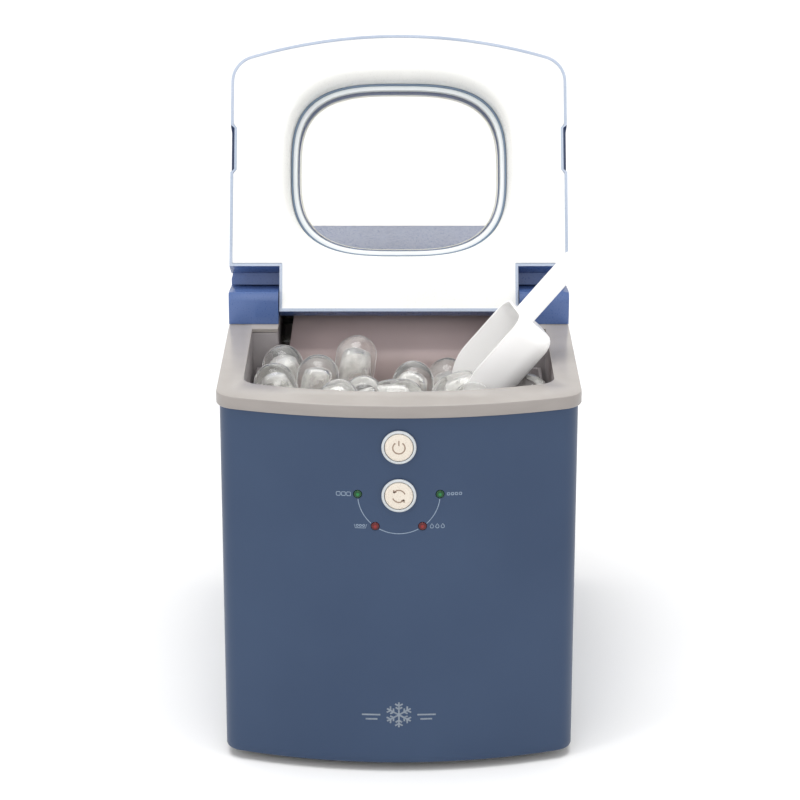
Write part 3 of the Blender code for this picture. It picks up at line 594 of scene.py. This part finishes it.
def rear_cover():
    section = round_topped(HALF_WIDTH, COVER_LOW.z, COVER_TOP, COVER_CORNER)
    cover = prism("cover", section, COVER_LOW.y, REAR, "Y")
    swing = arc(HINGE["pos_m"][1:], LID_SWING, 171.8, 153.1, 8)
    below, above = 0.25, 0.30
    pocket = [(-0.01, swing[0][1])] + swing
    pocket += [(0.0400, NOTCH_FLOOR), (NOTCH_BACK, NOTCH_FLOOR), (NOTCH_BACK, above),
               (-0.01, above)]
    cut(cover,
        block("notch", (-BAY_HALF, -0.01, below), (BAY_HALF, NOTCH_BACK, above)),
        prism("pocket", pocket, -0.13, 0.13, "X"),
        block("hollow", (-COVER_ROOM, 0.0450, below), (COVER_ROOM, REAR - SHEET, 0.2870)))
    for side, sign in (("left", -1), ("right", 1)):
        x = sorted((sign * (BAY_HALF + SHEET), sign * COVER_ROOM))
        cut(cover, block("block_hollow", (x[0], 0.0057, below), (x[1], 0.0460, 0.2790)))
        _, y, z = middle(f"hinge_pin_{side}")
        cut(cover, rod("pin_hole", (sign * 0.080, y, z), (sign * 0.095, y, z), 0.0033, 20),
            rod("head_room", (sign * (BAY_HALF + SHEET), y, z), (sign * 0.110, y, z), 0.0046, 20))
    soften(cover, 0.0009)
    settle("rear_cover_skin", cover, "blue_shell", "blue_shell", "cabinet", "rear_top_cover")


# ---------- lid
def grip_pad(sign):
    """Thickens the side wall inwards behind a finger grip."""
    outline = [(sign * GRIP_EDGE, GRIP[0] + 0.001), (sign * 0.1195, GRIP[0] - 0.002),
               (sign * 0.1195, GRIP[1] + 0.002), (sign * GRIP_EDGE, GRIP[1] - 0.001)]
    return prism("pad", outline, LID_BOTTOM, LID_TOP - 0.004)


def grip_scoop(sign):
    """The grip's hollow: deepest at the rim, running out up the side wall."""
    rings = []
    for y, depth in ((GRIP[0] - 0.001, 0.0), (GRIP[0] + 0.0012, 1.0), (GRIP[1] - 0.0012, 1.0),
                     (GRIP[1] + 0.001, 0.0)):
        low, high = 0.1212 - 0.0029 * depth, 0.1212
        section = [(low, LID_BOTTOM - 0.004), (low, LID_BOTTOM), (high, LID_BOTTOM + 0.016),
                   (0.130, LID_BOTTOM + 0.016), (0.130, LID_BOTTOM - 0.004)]
        rings.append([(sign * x, y, z) for x, z in section])
    return skin("scoop", rings)


def tongue_profile(inset, start):
    """The tongue seen from its side, as (y, z): square below, rounded behind on top."""
    back = TONGUE_BACK - inset
    bottom = LID_BOTTOM if inset == 0 else LID_BOTTOM - 0.01
    centre = (TONGUE_BACK - TONGUE_ROUND, LID_TOP - TONGUE_ROUND)
    curve = arc(centre, TONGUE_ROUND - inset * 1.25, 0, 90, 14)
    return [(start, bottom), (back, bottom)] + curve + [(start, LID_TOP - inset * 1.25)]


def lid_shell():
    levels = [(0, LID_BOTTOM), (0, LID_TOP - LID_EDGE)]
    levels += rounding(LID_EDGE, LID_TOP, (15, 30, 45, 60, 75, 90))
    shell = skin("shell", [at_height(lid_plan(inset, LID_BACK), z) for inset, z in levels])
    lip_round = 0.0021
    lip = round_topped(0.1198, LID_TOP - lip_round, LID_TOP, lip_round, 15, 5)
    join(shell,
         prism("lip", lip, 0.001, 0.0112, "Y"),
         prism("tongue", tongue_profile(0, 0.0), -TONGUE_HALF, TONGUE_HALF, "X"))
    hinge = HINGE["pos_m"]
    hollow = prism("hollow", lid_plan(LID_WALL, LID_BACK - LID_WALL), LID_BOTTOM - 0.01,
                   LID_TOP - SHEET)
    room = cut(hollow, grip_pad(1), grip_pad(-1))
    cut(shell, room,
        prism("tongue_hollow", tongue_profile(LID_WALL, -0.003), LID_WALL - TONGUE_HALF,
              TONGUE_HALF - LID_WALL, "X"),
        prism("window", superellipse(0.072, 0.058), 0.28, 0.30),
        rod("bore", (-0.10, hinge[1], hinge[2]), (0.10, hinge[1], hinge[2]), 0.0035, 20),
        grip_scoop(1), grip_scoop(-1))
    soften(shell, 0.0005)
    made = settle("lid_shell_skin", shell, "blue_shell", "blue_shell", "lid", "lid_shell",
                  place=opened())
    paint_rim_highlight_and_grip_shade(made)


def paint_rim_highlight_and_grip_shade(item):
    """Paints the shell's cut edge paler than its faces as a painted highlight, and its finger grips
    dark and matt as painted shade.
    """
    add_finishes(item, "rim_painted_highlight", "grip_painted_shade")
    shut = opened().inverted()
    for face in item.data.polygons:
        here = shut @ face.center
        down = (shut.to_3x3() @ face.normal).z
        on_tongue = abs(here.x) < TONGUE_HALF + 0.001
        # the downward cut edge takes the pale finish, a painted highlight
        if here.z < LID_BOTTOM + 0.0009 and down < -0.25 and (here.y < 0.0 or on_tongue):
            face.material_index = 1
        # the finger grips' sloped faces take the dark matt finish, painted shade for the shadow in
        # the hollow
        elif GRIP[0] < here.y < GRIP[1] and -0.6 < down < -0.05 and abs(here.x) > 0.118:
            face.material_index = 2


def liner_outline():
    """The liner's plan, with its tongue and its finger grips, as one loop round the window."""
    inset = LID_WALL - 0.0003
    half = HALF_WIDTH - inset
    grip = GRIP_EDGE + 0.0003
    plan = lid_plan(inset, 0.0003)
    right = [(half, GRIP[0] - 0.0025), (grip, GRIP[0] + 0.001), (grip, GRIP[1] - 0.001),
             (half, GRIP[1] + 0.0025)]
    left = [(-x, y) for x, y in right[::-1]]
    tongue = [(0.0835, 0.0003), (0.0835, 0.0340), (-0.0835, 0.0340), (-0.0835, 0.0003)]
    return densify([plan[0]] + left + plan[1:-1] + right + [plan[-1]] + tongue, 0.004)


def densify(outline, step):
    """The same closed outline with points no further apart than step."""
    points = []
    for (x0, y0), (x1, y1) in zip(outline, outline[1:] + outline[:1]):
        count = max(1, ceil(hypot(x1 - x0, y1 - y0) / step))
        points += [(x0 + (x1 - x0) * i / count, y0 + (y1 - y0) * i / count)
                   for i in range(count)]
    return points


def window_reach(angle, grow=0.0):
    """How far the window's outline is from its centre in one direction."""
    c = abs(cos(angle)) / WINDOW_HALF[0]
    s = abs(sin(angle)) / WINDOW_HALF[1]
    return (c ** WINDOW_POWER + s ** WINDOW_POWER) ** (-1 / WINDOW_POWER) + grow


def liner():
    """A moulded sheet, flat at the rim and rolling up into a collar round the window."""
    flat = LID_BOTTOM + 0.0003
    collar_top, throat = 0.2812, 0.2765
    roll_width = 0.0100
    levels = [(0.0, collar_top), (0.0003, (collar_top + throat) / 2)]
    for i in range(11):
        t = radians(90 * i / 10)
        levels.append((0.0006 + roll_width * (1 - cos(t)),
                       throat + (flat - throat) * sin(t)))
    columns = []
    for x, y in liner_outline():
        angle = atan2(y - WINDOW_CENTRE, x)
        rim = hypot(x, y - WINDOW_CENTRE)
        turn = Vector((cos(angle), sin(angle)))
        column = [(window_reach(angle, grow), z) for grow, z in levels]
        start = column[-1][0]
        column += [(start + (rim - 0.0008 - start) * i / 5, flat) for i in range(1, 6)]
        column += [(rim - 0.0002, flat), (rim, flat + 0.0002), (rim, flat + 0.0020)]
        columns.append([(turn.x * reach, WINDOW_CENTRE + turn.y * reach, z)
                        for reach, z in column])
    sheet = skin("liner", zip(*columns), capped=False)
    widest = max(sheet.data.polygons, key=lambda face: face.area)
    thicken(sheet, 0.0014, 1 if widest.normal.z > 0 else -1)
    settle("lid_liner_skin", sheet, "white_plastic", "white_plastic", "lid", "lid_liner",
           place=opened(), crisp=50)


def ring_body(name, outer, inner, low, high):
    """A flat ring between two window outlines."""
    a, b = superellipse(*outer), superellipse(*inner)
    rings = [at_height(a, low), at_height(a, high), at_height(b, high), at_height(b, low)]
    return skin(name, rings + [rings[0]], capped=False)


def window():
    """The gasket, the pale frame and ring inside it, a ring on the shell's edge, and the pane."""
    x, y = WINDOW_HALF
    frame_ring = ("bezel_plastic", "white_plastic")
    rings = (("window_gasket_skin", 0.0001, 0.0014, 0.2800, 0.2839,
              ("gasket_rubber", "gasket_rubber"), "window_gasket"),
             ("window_bezel", 0.0014, 0.0044, 0.2815, 0.2841, frame_ring),
             ("window_inner_ring", 0.0044, 0.0050, 0.2826, 0.2841,
              ("ring_plastic", "white_plastic")),
             ("window_outer_ring", 0.0064, 0.0072, 0.2871, 0.2893, frame_ring))
    for name, outer, inner, low, high, (colour, slot), *nodes in rings:
        ring = ring_body(name, (x - outer, y - outer), (x - inner, y - inner), low, high)
        weld(ring)
        soften(ring, 0.0003, 2, 32)
        settle(name, ring, colour, slot, "lid", *nodes, place=opened())
    levels = [(0.9995, 0.28425), (1.0, 0.2846), (1.0, 0.2864), (0.9995, 0.2867)]
    pane = skin("pane", [at_height(superellipse(0.077 * scale, 0.063 * scale), z)
                         for scale, z in levels])
    settle("window_pane", pane, "clear_pane", "clear_pane", "lid", "lid_window",
           place=opened())


def weld(item):
    work = bmesh.new()
    work.from_mesh(item.data)
    bmesh.ops.remove_doubles(work, verts=work.verts, dist=1e-7)
    bmesh.ops.recalc_face_normals(work, faces=work.faces)
    work.to_mesh(item.data)
    work.free()


# ---------- ice bin, basket and shield
def water_tank():
    top = BODY_HIGH.z
    tank = prism("tank", opening_plan(SHEET, OPENING_BACK + SHEET), TANK_FLOOR - SHEET, top)
    join(tank, block("bay", (-BAY_HALF - SHEET, OPENING_BACK, BAY_FLOOR - SHEET),
                     (BAY_HALF + SHEET, BAY_BACK + SHEET, top)))
    cut(tank, prism("hollow", opening_plan(0, OPENING_BACK), TANK_FLOOR, top + 0.01),
        block("bay_hollow", (-BAY_HALF, OPENING_BACK - 0.001, BAY_FLOOR),
              (BAY_HALF, BAY_BACK, top + 0.01)))
    for sign in (-1, 1):
        x = sorted((sign * 0.0965, sign * (OPENING_HALF + 0.0005)))
        join(tank, block("ledge", (x[0], -0.118, TANK_FLOOR - 0.001),
                         (x[1], -0.030, BASKET_LOW.z - 0.0003)))
    _, y, z = middle("tray_shaft")
    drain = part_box("drain_spout")[0].x + 0.0075
    bores = (((-0.10, y, z), (0.10, y, z), 0.0034),                       # tray shaft
             ((drain, -0.09, 0.05), (drain, -0.09, 0.07), 0.005),         # drain
             ((-0.10, 0.052, 0.236), (-0.08, 0.052, 0.236), 0.0042),      # water hose
             ((0.08, 0.059, 0.2455), (0.10, 0.059, 0.2455), 0.0036),      # suction pipe
             ((-0.10, 0.071, 0.2455), (-0.08, 0.071, 0.2455), 0.0026))    # liquid pipe
    cut(tank, *[rod("bore", start, end, radius, 20) for start, end, radius in bores])
    soften(tank, 0.0006, 2)
    settle("water_tank_skin", tank, "bin_plastic", "bin_plastic", "cabinet", "water_tank")


def ice_basket():
    def plan(inset):
        return bowed_front(OPENING_HALF - inset, OPENING_FRONT + inset + 0.0005,
                           OPENING_BOW - inset - 0.0005, OPENING_CORNER - 0.0005 - inset / 3,
                           OPENING_BACK - inset - 0.0004)
    low, high = BASKET_LOW.z, BASKET_HIGH.z
    basket = prism("basket", plan(0.003), low, high)
    cut(basket, prism("room", plan(0.0052), low + SHEET, high + 0.01),
        block("chute", (-0.080, -0.02, 0.166), (0.080, 0.0, 0.25)))
    for i in range(7):
        x = -0.072 + 0.024 * i
        slot = stadium(-0.115, -0.035, x, 0.003)
        cut(basket, prism("slot", [(v, u) for u, v in slot], low - 0.01, low + 0.01))
    soften(basket, 0.0006, 2)
    settle("ice_basket_skin", basket, "bin_plastic", "bin_plastic", "basket", "ice_basket")


def evaporator_shield():
    """A bent smoked sheet with a stepped left edge, in front of the freezing fingers."""
    low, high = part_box("evaporator_shield")
    bends = [(0.060, 0.2600), (0.045, 0.2600), (0.013, 0.2370), (0.013, 0.2060)]
    count = 24
    rings = []
    for y, z in rounded(bends, 0.006):
        left = low.x + (0.0025 if z > 0.247 else 0.0)
        rings.append([(left + (high.x - left) * i / count, y, z) for i in range(count + 1)])
    sheet = skin("shield", rings, capped=False, round_trip=False)
    thicken(sheet, 0.0018, 0)
    soften(sheet, 0.0004, 2, 50)
    settle("evaporator_shield_skin", sheet, "smoked_plastic", "smoked_plastic", "cabinet",
           "evaporator_shield")


def rounded(points, radius, steps=8):
    """A flat route through the points with its corners rounded."""
    points = [Vector(p) for p in points]
    route = [points[0]]
    for before, here, after in zip(points, points[1:], points[2:]):
        start = here + (before - here).normalized() * radius
        end = here + (after - here).normalized() * radius
        for i in range(steps + 1):
            t = i / steps
            route.append(start.lerp(here, t).lerp(here.lerp(end, t), t))
    return [tuple(p) for p in route + [points[-1]]]


# ---------- scoop
SCOOP_ROOT = Vector((0.086, -0.074, 0.294))
SCOOP_HANDLE = Vector((0.6604, 0.1222, 0.7409)).normalized()
SCOOP_MOUTH = Vector((-0.7126, -0.0830, 0.6960))
SCOOP_BLADE = 0.085
SCOOP_BEND = 0.0376               # radius in which the blade's sides run down to its tip
SCOOP_REACH = 0.052


def scoop_place():
    """From the scoop's own axes (across, mouth, handle) to where it stands in the ice."""
    mouth = (SCOOP_MOUTH - SCOOP_HANDLE * SCOOP_MOUTH.dot(SCOOP_HANDLE)).normalized()
    across = mouth.cross(SCOOP_HANDLE)
    turn = Matrix((across, mouth, SCOOP_HANDLE)).transposed().to_4x4()
    return Matrix.Translation(SCOOP_ROOT) @ turn


def trough(inset, rise, top, z):
    """The blade's section: two upright sides and a round-cornered bottom."""
    half, keel, corner = 0.0275 - inset, -0.0245 + rise, 0.0145 - inset * 0.5
    outline = [(-half, top)] + arc((-half + corner, keel + corner), corner, 180, 270, 10)
    outline += arc((half - corner, keel + corner), corner, 270, 360, 10) + [(half, top)]
    return at_height(outline, z)


def scoop():
    rim, thin, heel = 0.0086, 0.0016, 0.011

    def rings(wall, top, start):
        yield trough(wall, wall, top, start)
        yield trough(wall, wall, top, -heel)
        for angle in range(15, 91, 15):
            a = radians(angle)
            draw = 1 - cos(a)
            yield trough(wall + (heel - wall) * draw, wall + 0.45 * (heel - wall) * draw, top,
                         -heel + (heel - wall) * sin(a))

    blade = skin("blade", rings(0.0, rim, -SCOOP_BLADE))
    hollow = skin("hollow", rings(thin, rim + 0.01, -SCOOP_BLADE - 0.01))
    bend = (rim - SCOOP_BEND, -0.045)
    outline = arc(bend, SCOOP_BEND, 0, -88, 24) + [(-0.035, -0.12), (0.05, -0.12), (0.05, -0.045)]
    nose = prism("nose", outline, -0.05, 0.05, "X")
    handle = skin("handle", [
        at_height(rounded_box((0, 0), 0.0085 + flare, 0.006 - inset, 0.003, 5), z)
        for flare, inset, z in handle_levels()])
    cut(join(blade, handle), hollow, nose)
    soften(blade, 0.0005)
    settle("ice_scoop_skin", blade, "scoop_plastic", "white_plastic", "scoop", "ice_scoop",
           place=scoop_place())


def handle_levels():
    """(extra half width, inset, height) up the handle to its rounded end."""
    end = 0.003
    yield 0.0, 0.0, -0.001
    yield 0.0, 0.0, SCOOP_REACH - end
    for a in (20, 40, 60, 80):
        drop = end * 0.6 * (1 - cos(radians(a)))
        yield -drop, drop, SCOOP_REACH - end + end * sin(radians(a))


# ---------- controls
def lamp_centre(name):
    x, _, z = middle(name)
    return x, z


def buttons():
    for key, height in (("on_off", ON_OFF_HEIGHT), ("select", SELECT_HEIGHT)):
        low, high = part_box(f"{key}_ring")
        back, depth = high.y, high.y - low.y
        profile = [(0.0098, 0.0), (0.0105, 0.0)]
        profile += [(radius, depth - down) for radius, down in (
            (0.0105, 0.0013), (0.0115, 0.0013), (0.0115, 0.0008), (0.0112, 0.0003),
            (0.0107, 0.0), (0.0101, 0.0), (0.0098, 0.0004))]
        ring = lathe("ring", profile, (0, back, height), 64)
        hole = rod("hole", (0, low.y - 0.01, height), (0, back + 0.01, height), 0.0097, 64)
        cut(ring, hole)
        settle(f"{key}_ring_skin", ring, "ring_plastic", "grey_trim", "cabinet", f"{key}_ring",
               crisp=55)
        low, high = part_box(f"{key}_button")
        back, depth = high.y, high.y - low.y
        profile = [(0.0030, 0.0), (0.0030, 0.001), (0.00935, 0.001)]
        profile += [(radius, depth - down) for radius, down in (
            (0.00935, 0.0011), (0.00925, 0.0006), (0.0089, 0.0003), (0.0084, 0.00015),
            (0.0060, 0.00005), (0.0001, 0.0))]
        cap = lathe("cap", profile, (0, back, height), 64)
        settle(f"{key}_button_skin", cap, "cream_plastic", "cream_plastic", f"{key}_key",
               f"{key}_button", crisp=55)


def lamps():
    """Each lamp is a domed lens in its hole in the front, lighter at its centre as painted light
    and darker towards its edge as painted shade.
    """
    for name in LAMPS:
        x, z = lamp_centre(name)
        green = z > SELECT_HEIGHT
        y = front_surface(x)
        # core and rim are the painted light at the lens centre and the painted shade at its edge
        core = srgb(26, 122, 62) if green else srgb(136, 32, 33)
        rim = srgb(14, 62, 30) if green else srgb(84, 16, 20)
        FINISHES[name] = lamp_finish(name, (x, y - 0.0008, z), core, rim)
        dome = [(0.00265, -0.0080)]
        dome += [(0.00265 * cos(radians(a)), 0.0009 * sin(radians(a)))
                 for a in range(0, 90, 12)]
        lens = lathe("lens", dome + [(0.0, 0.0009)], (x, y, z), 32)
        settle(f"{name}_lens", lens, name, "green_lens" if green else "red_lens", "cabinet",
               name, crisp=60)


def ribbon(name, routes, width, surface, finish_name, slot, body):
    """Printed lines: each route is a list of (x, z), drawn as a thin raised strip."""
    work = bmesh.new()
    for route in routes:
        points = [Vector(p) for p in route]
        rows = []
        for i, here in enumerate(points):
            ahead = points[min(i + 1, len(points) - 1)] - points[max(i - 1, 0)]
            if points[0] == points[-1] and i in (0, len(points) - 1):
                ahead = points[1] - points[-2]
            across = Vector((-ahead.y, ahead.x)).normalized() * width / 2
            ends = (here - across, here + across)
            rows.append([work.verts.new((p.x, surface(p.x, 0.00010), p.y)) for p in ends]
                        + [work.verts.new((p.x, surface(p.x, -0.00005), p.y)) for p in ends])
        for (a, b, c, d), (e, f, g, h) in zip(rows, rows[1:]):
            work.faces.new((a, b, f, e))
            work.faces.new((c, g, h, d))
            work.faces.new((a, e, g, c))
            work.faces.new((b, d, h, f))
        for a, b, c, d in (rows[0], rows[-1]):
            work.faces.new((a, c, d, b))
    item = raw(name, work)
    return settle(name, item, finish_name, slot, body, crisp=30)


def drop_route(x, z, size):
    """A water drop: a point above a round belly."""
    belly = arc((x, z - size * 0.15), size * 0.42, -218, 38, 14)
    return [(x, z + size * 0.62)] + belly + [(x, z + size * 0.62)]


def pictograms():
    """Printed marks beside the lamps, in place of words: large and small ice, full bin, water."""
    marks = []
    x, z = lamp_centre("led_large_ice")
    for i in range(3):
        marks.append(square_route(x - 0.0060 - 0.0034 * i, z, 0.0013))
    x, z = lamp_centre("led_small_ice")
    for i in range(4):
        marks.append(square_route(x + 0.0056 + 0.0026 * i, z, 0.0008))
    x, z = lamp_centre("led_bin_full")
    bin_x = x - 0.0098
    marks.append([(bin_x - 0.0040, z + 0.0012), (bin_x - 0.0034, z - 0.0014),
                  (bin_x + 0.0034, z - 0.0014), (bin_x + 0.0040, z + 0.0012)])
    for i in range(3):
        marks.append(arc((bin_x - 0.0021 + 0.0021 * i, z + 0.0003), 0.0007, 0, 360, 12))
    x, z = lamp_centre("led_add_water")
    for i in range(3):
        marks.append(drop_route(x + 0.0062 + 0.0036 * i, z, 0.0026))
    ribbon("lamp_pictograms", marks, 0.00045, front_surface, "pale_ink", "grey_trim", "cabinet")


def square_route(x, z, half):
    route = rounded_box((x, z), half, half, half * 0.5, 3)
    return route + [route[0]]


def dial_arc():
    """The thin printed arc round the lower button, broken at each lamp."""
    centre = (0.0, SELECT_HEIGHT)
    angles = []
    for name in LAMPS:
        x, z = lamp_centre(name)
        angles.append(degrees(atan2(z - SELECT_HEIGHT, x)) % 360)
    angles = sorted(a if a > 90 else a + 360 for a in angles)
    gap = 7.0
    routes = [arc(centre, DIAL_RADIUS, a + gap, b - gap, 24)
              for a, b in zip(angles, angles[1:])]
    ribbon("dial_arc", routes, 0.00052, front_surface, "pale_ink", "grey_trim", "cabinet")


def button_symbols():
    """A power sign on the upper button, two chasing arrows on the lower one."""
    def flat(button):
        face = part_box(button)[0].y
        return lambda x, proud: face - proud * 0.6
    z = ON_OFF_HEIGHT
    power = [arc((0, z), 0.0040, -235, 55, 30), [(0, z + 0.0015), (0, z + 0.0050)]]
    ribbon("on_off_symbol", power, 0.00085, flat("on_off_button"), "brown_ink",
           "cream_plastic", "on_off_key")
    z = SELECT_HEIGHT
    arrows = []
    for start in (20, 200):
        arrows.append(arc((0, z), 0.0042, start, start + 125, 16))
        tip = radians(start + 125)
        point = Vector((0.0042 * cos(tip), z + 0.0042 * sin(tip)))
        ahead = Vector((-sin(tip), cos(tip)))
        for turn in (145, -145):
            angle = radians(turn)
            barb = Vector((ahead.x * cos(angle) - ahead.y * sin(angle),
                           ahead.x * sin(angle) + ahead.y * cos(angle)))
            arrows.append([tuple(point + barb * 0.0020), tuple(point)])
    ribbon("select_symbol", arrows, 0.00080, flat("select_button"), "brown_ink",
           "cream_plastic", "select_key")


def snowflake_mark():
    """A plain snowflake between two bars, low on the front."""
    routes = []
    reach = 0.0092
    for i in range(6):
        a = radians(90 + 60 * i)
        tip = Vector((cos(a), sin(a)))
        centre = Vector((0, MARK_HEIGHT))
        routes.append([tuple(centre), tuple(centre + tip * reach)])
        for where, length in ((0.45, 0.0026), (0.70, 0.0030)):
            for side in (-1, 1):
                b = a + side * radians(58)
                start = centre + tip * reach * where
                end = start + Vector((cos(b), sin(b))) * length
                routes.append([tuple(start), tuple(end)])
    for sign in (-1, 1):
        for near, far, z in ((0.0125, 0.0250, MARK_HEIGHT),
                             (0.0145, 0.0225, MARK_HEIGHT - 0.0032)):
            routes.append([(sign * near, z), (sign * far, z)])
    ribbon("front_mark", routes, 0.0011, front_surface, "silver_ink", "grey_trim", "cabinet")


# ---------- ice
ICE_RADIUS = 0.0145
ICE_LENGTH = 0.031
ICE_SIDES = 26
ICE_OUTSIDE = 13                  # how many points of its profile are on the outside
ICE_PITCH = (0.0320, 0.0310)      # from piece to piece in the hidden layers
TOP_ICE = [                       # where the dome's centre is, lean back and lean right (degrees)
    ((-0.0815, -0.026, 0.2425), 12, -10), ((-0.0860, -0.065, 0.2415), 20, -14),
    ((-0.0565, -0.045, 0.2412), -8, 6), ((-0.0300, -0.009, 0.2440), -6, 8),
    ((-0.0410, -0.096, 0.2400), 32, 18), ((-0.0245, -0.060, 0.2305), -20, -26),
    ((0.0030, -0.094, 0.2395), 20, 84), ((0.0100, -0.048, 0.2375), 10, 14),
    ((0.0345, -0.024, 0.2320), -12, -10), ((0.0370, -0.082, 0.2390), 30, -110),
    ((0.0497, -0.116, 0.2440), -24, -30), ((0.0885, -0.085, 0.2400), -18, 22),
]


def ice_profile():
    """(radius, height) down the outside from the dome's top, then up inside the hollow."""
    r, long = ICE_RADIUS, ICE_LENGTH - ICE_RADIUS
    outside = [(r * sin(radians(a)), r * cos(radians(a))) for a in range(0, 91, 10)]
    outside += [(r * 1.01, -long * 0.5), (r * 0.97, -long * 0.9), (r * 0.90, -long)]
    bore, top = r * 0.66, r * 0.30
    inside = [(bore * 1.08, -long), (bore, -long * 0.8), (bore * 0.94, -long * 0.3)]
    inside += [(bore * 0.9 * cos(radians(a)), top * sin(radians(a))) for a in range(15, 91, 15)]
    return outside + inside


def add_ice(work, place, tilt, seed, size=1.0):
    """One hollow bullet of ice, slightly lumpy, added to a mesh."""
    sides = ICE_SIDES
    back, right = (radians(angle) for angle in tilt)
    turn = Matrix.Rotation(back, 3, "X") @ Matrix.Rotation(right, 3, "Y")
    loops = []
    for radius, height in ice_profile():
        loop = []
        for i in range(sides):
            a = 2 * pi * i / sides
            point = Vector((max(radius, 2e-5) * cos(a), max(radius, 2e-5) * sin(a),
                            height)) * size
            point *= 1 + 0.035 * noise.noise(point * 95 + Vector((seed * 7.3, 0, 0)))
            loop.append(work.verts.new(Vector(place) + turn @ point))
        loops.append(loop)
    for a, b in zip(loops, loops[1:]):
        for i in range(sides):
            j = (i + 1) % sides
            work.faces.new((a[i], b[i], b[j], a[j]))
    work.faces.new(loops[0])
    work.faces.new(loops[-1][::-1])


def ice():
    """The pieces that show, on three layers that fill the basket below them."""
    work = bmesh.new()
    for i, (place, *tilt) in enumerate(TOP_ICE):
        add_ice(work, place, tilt, i)
    chance = random.Random(7)
    seed = len(TOP_ICE)
    for layer in range(3):
        z = BASKET_LOW.z + 0.0200 + ICE_LENGTH * layer
        for column in range(6):
            for row in range(4):
                x = -0.0800 + ICE_PITCH[0] * column + chance.uniform(-0.001, 0.001)
                y = -0.1180 + ICE_PITCH[1] * row + chance.uniform(-0.0008, 0.0008)
                flip = 180 * ((column + row + layer) % 2)
                lift = ICE_LENGTH - 2 * ICE_RADIUS if flip else 0
                tilt = (chance.uniform(-3, 3) + flip, chance.uniform(-3, 3))
                add_ice(work, (x, y, z - lift), tilt, seed, 0.97)
                seed += 1
    made = settle("bullet_ice", raw("ice", work), "ice", "clear_pane", "basket", crisp=60)
    add_finishes(made, "ice_core", "ice_packed")
    each = (len(ice_profile()) - 1) * ICE_SIDES + 2       # faces of one piece
    for face in made.data.polygons:
        inside = int(face.index % each // ICE_SIDES >= ICE_OUTSIDE)
        face.material_index = inside if face.index < each * len(TOP_ICE) else 2


# ---------- frame nodes that stay
SLEEVED = {"liquid_tube": "black_rubber", "suction_tube": "black_rubber"}  # in foam sleeves


def paint_frame_nodes():
    """Every CAD node that still shows takes the finish of its slot."""
    for node in frame["nodes"].values():
        if node.hide_render:
            continue
        for i, old in enumerate(node.data.materials):
            name = SLEEVED.get(node.name, old.name.split(".")[0])
            node.data.materials[i] = FINISHES[name]
        node.data.shade_smooth()
        node.data.set_sharp_from_angle(angle=radians(32))


# ---------- floor, light and camera
def floor():
    ground = skin("studio_floor", [[(-14, -14, 0), (14, -14, 0)], [(-14, 14, 0), (14, 14, 0)]],
                  capped=False, round_trip=False)
    ground.data.materials.append(finish("floor", srgb(242, 242, 242), srgb(244, 244, 244),
                                        (0.85, 0.95), mottle=2, grain=200, bump=0.01))
    ground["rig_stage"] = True


def softbox(name, place, target, size, power):
    light = bpy.data.lights.new(name, "AREA")
    light.shape = "RECTANGLE"
    light.size, light.size_y = size
    light.energy = power
    item = add_object(name, light)
    item.location = place
    aim = Vector(target) - Vector(place)
    item.rotation_euler = aim.to_track_quat("-Z", "Y").to_euler()


def studio():
    world = bpy.data.worlds.new("studio")
    bpy.context.scene.world = world
    world.use_nodes = True
    tree = world.node_tree
    sky = tree.nodes.new("ShaderNodeTexCoord")
    height = tree.nodes.new("ShaderNodeSeparateXYZ")
    tree.links.new(sky.outputs["Generated"], height.inputs["Vector"])
    horizon, zenith = (1.04, 1.04, 1.04, 1.0), (0.52, 0.52, 0.52, 1.0)
    shade = ramp(tree, height.outputs["Z"], (0.34, horizon), (0.60, zenith))
    tree.links.new(shade, tree.nodes["Background"].inputs["Color"])
    overhead = bpy.data.lights.new("overhead", "SUN")
    overhead.energy = 2.0
    overhead.angle = radians(40)
    add_object("overhead", overhead).rotation_euler = (radians(7), radians(-3), 0)
    softbox("left_softbox", (-1.3, -1.2, 1.1), (0, 0, 0.25), (0.3, 0.8), 5)
    softbox("right_softbox", (1.4, -1.1, 1.1), (0, 0, 0.25), (0.3, 0.8), 3)
    softbox("front_softbox", (0, -2.4, 1.2), (0, 0, 0.28), (1.6, 1.0), 6)
    bpy.context.scene.view_settings.view_transform = "Standard"


def camera():
    data = bpy.data.cameras.new("camera")
    data.sensor_width = 36
    data.lens = 122.26
    data.shift_x = 0.0014
    item = add_object("camera", data)
    item.location = (0, -1.850, 0.8271)
    item.rotation_euler = (radians(90 - 18.51), 0, 0)
    bpy.context.scene.camera = item


# ---------- the whole
cabinet_front()
cabinet_sides()
cabinet_rear()
top_trim()
rear_cover()
lid_shell()
liner()
window()
water_tank()
ice_basket()
evaporator_shield()
scoop()
buttons()
lamps()
pictograms()
dial_arc()
button_symbols()
snowflake_mark()
ice()
paint_frame_nodes()
floor()
studio()
camera()
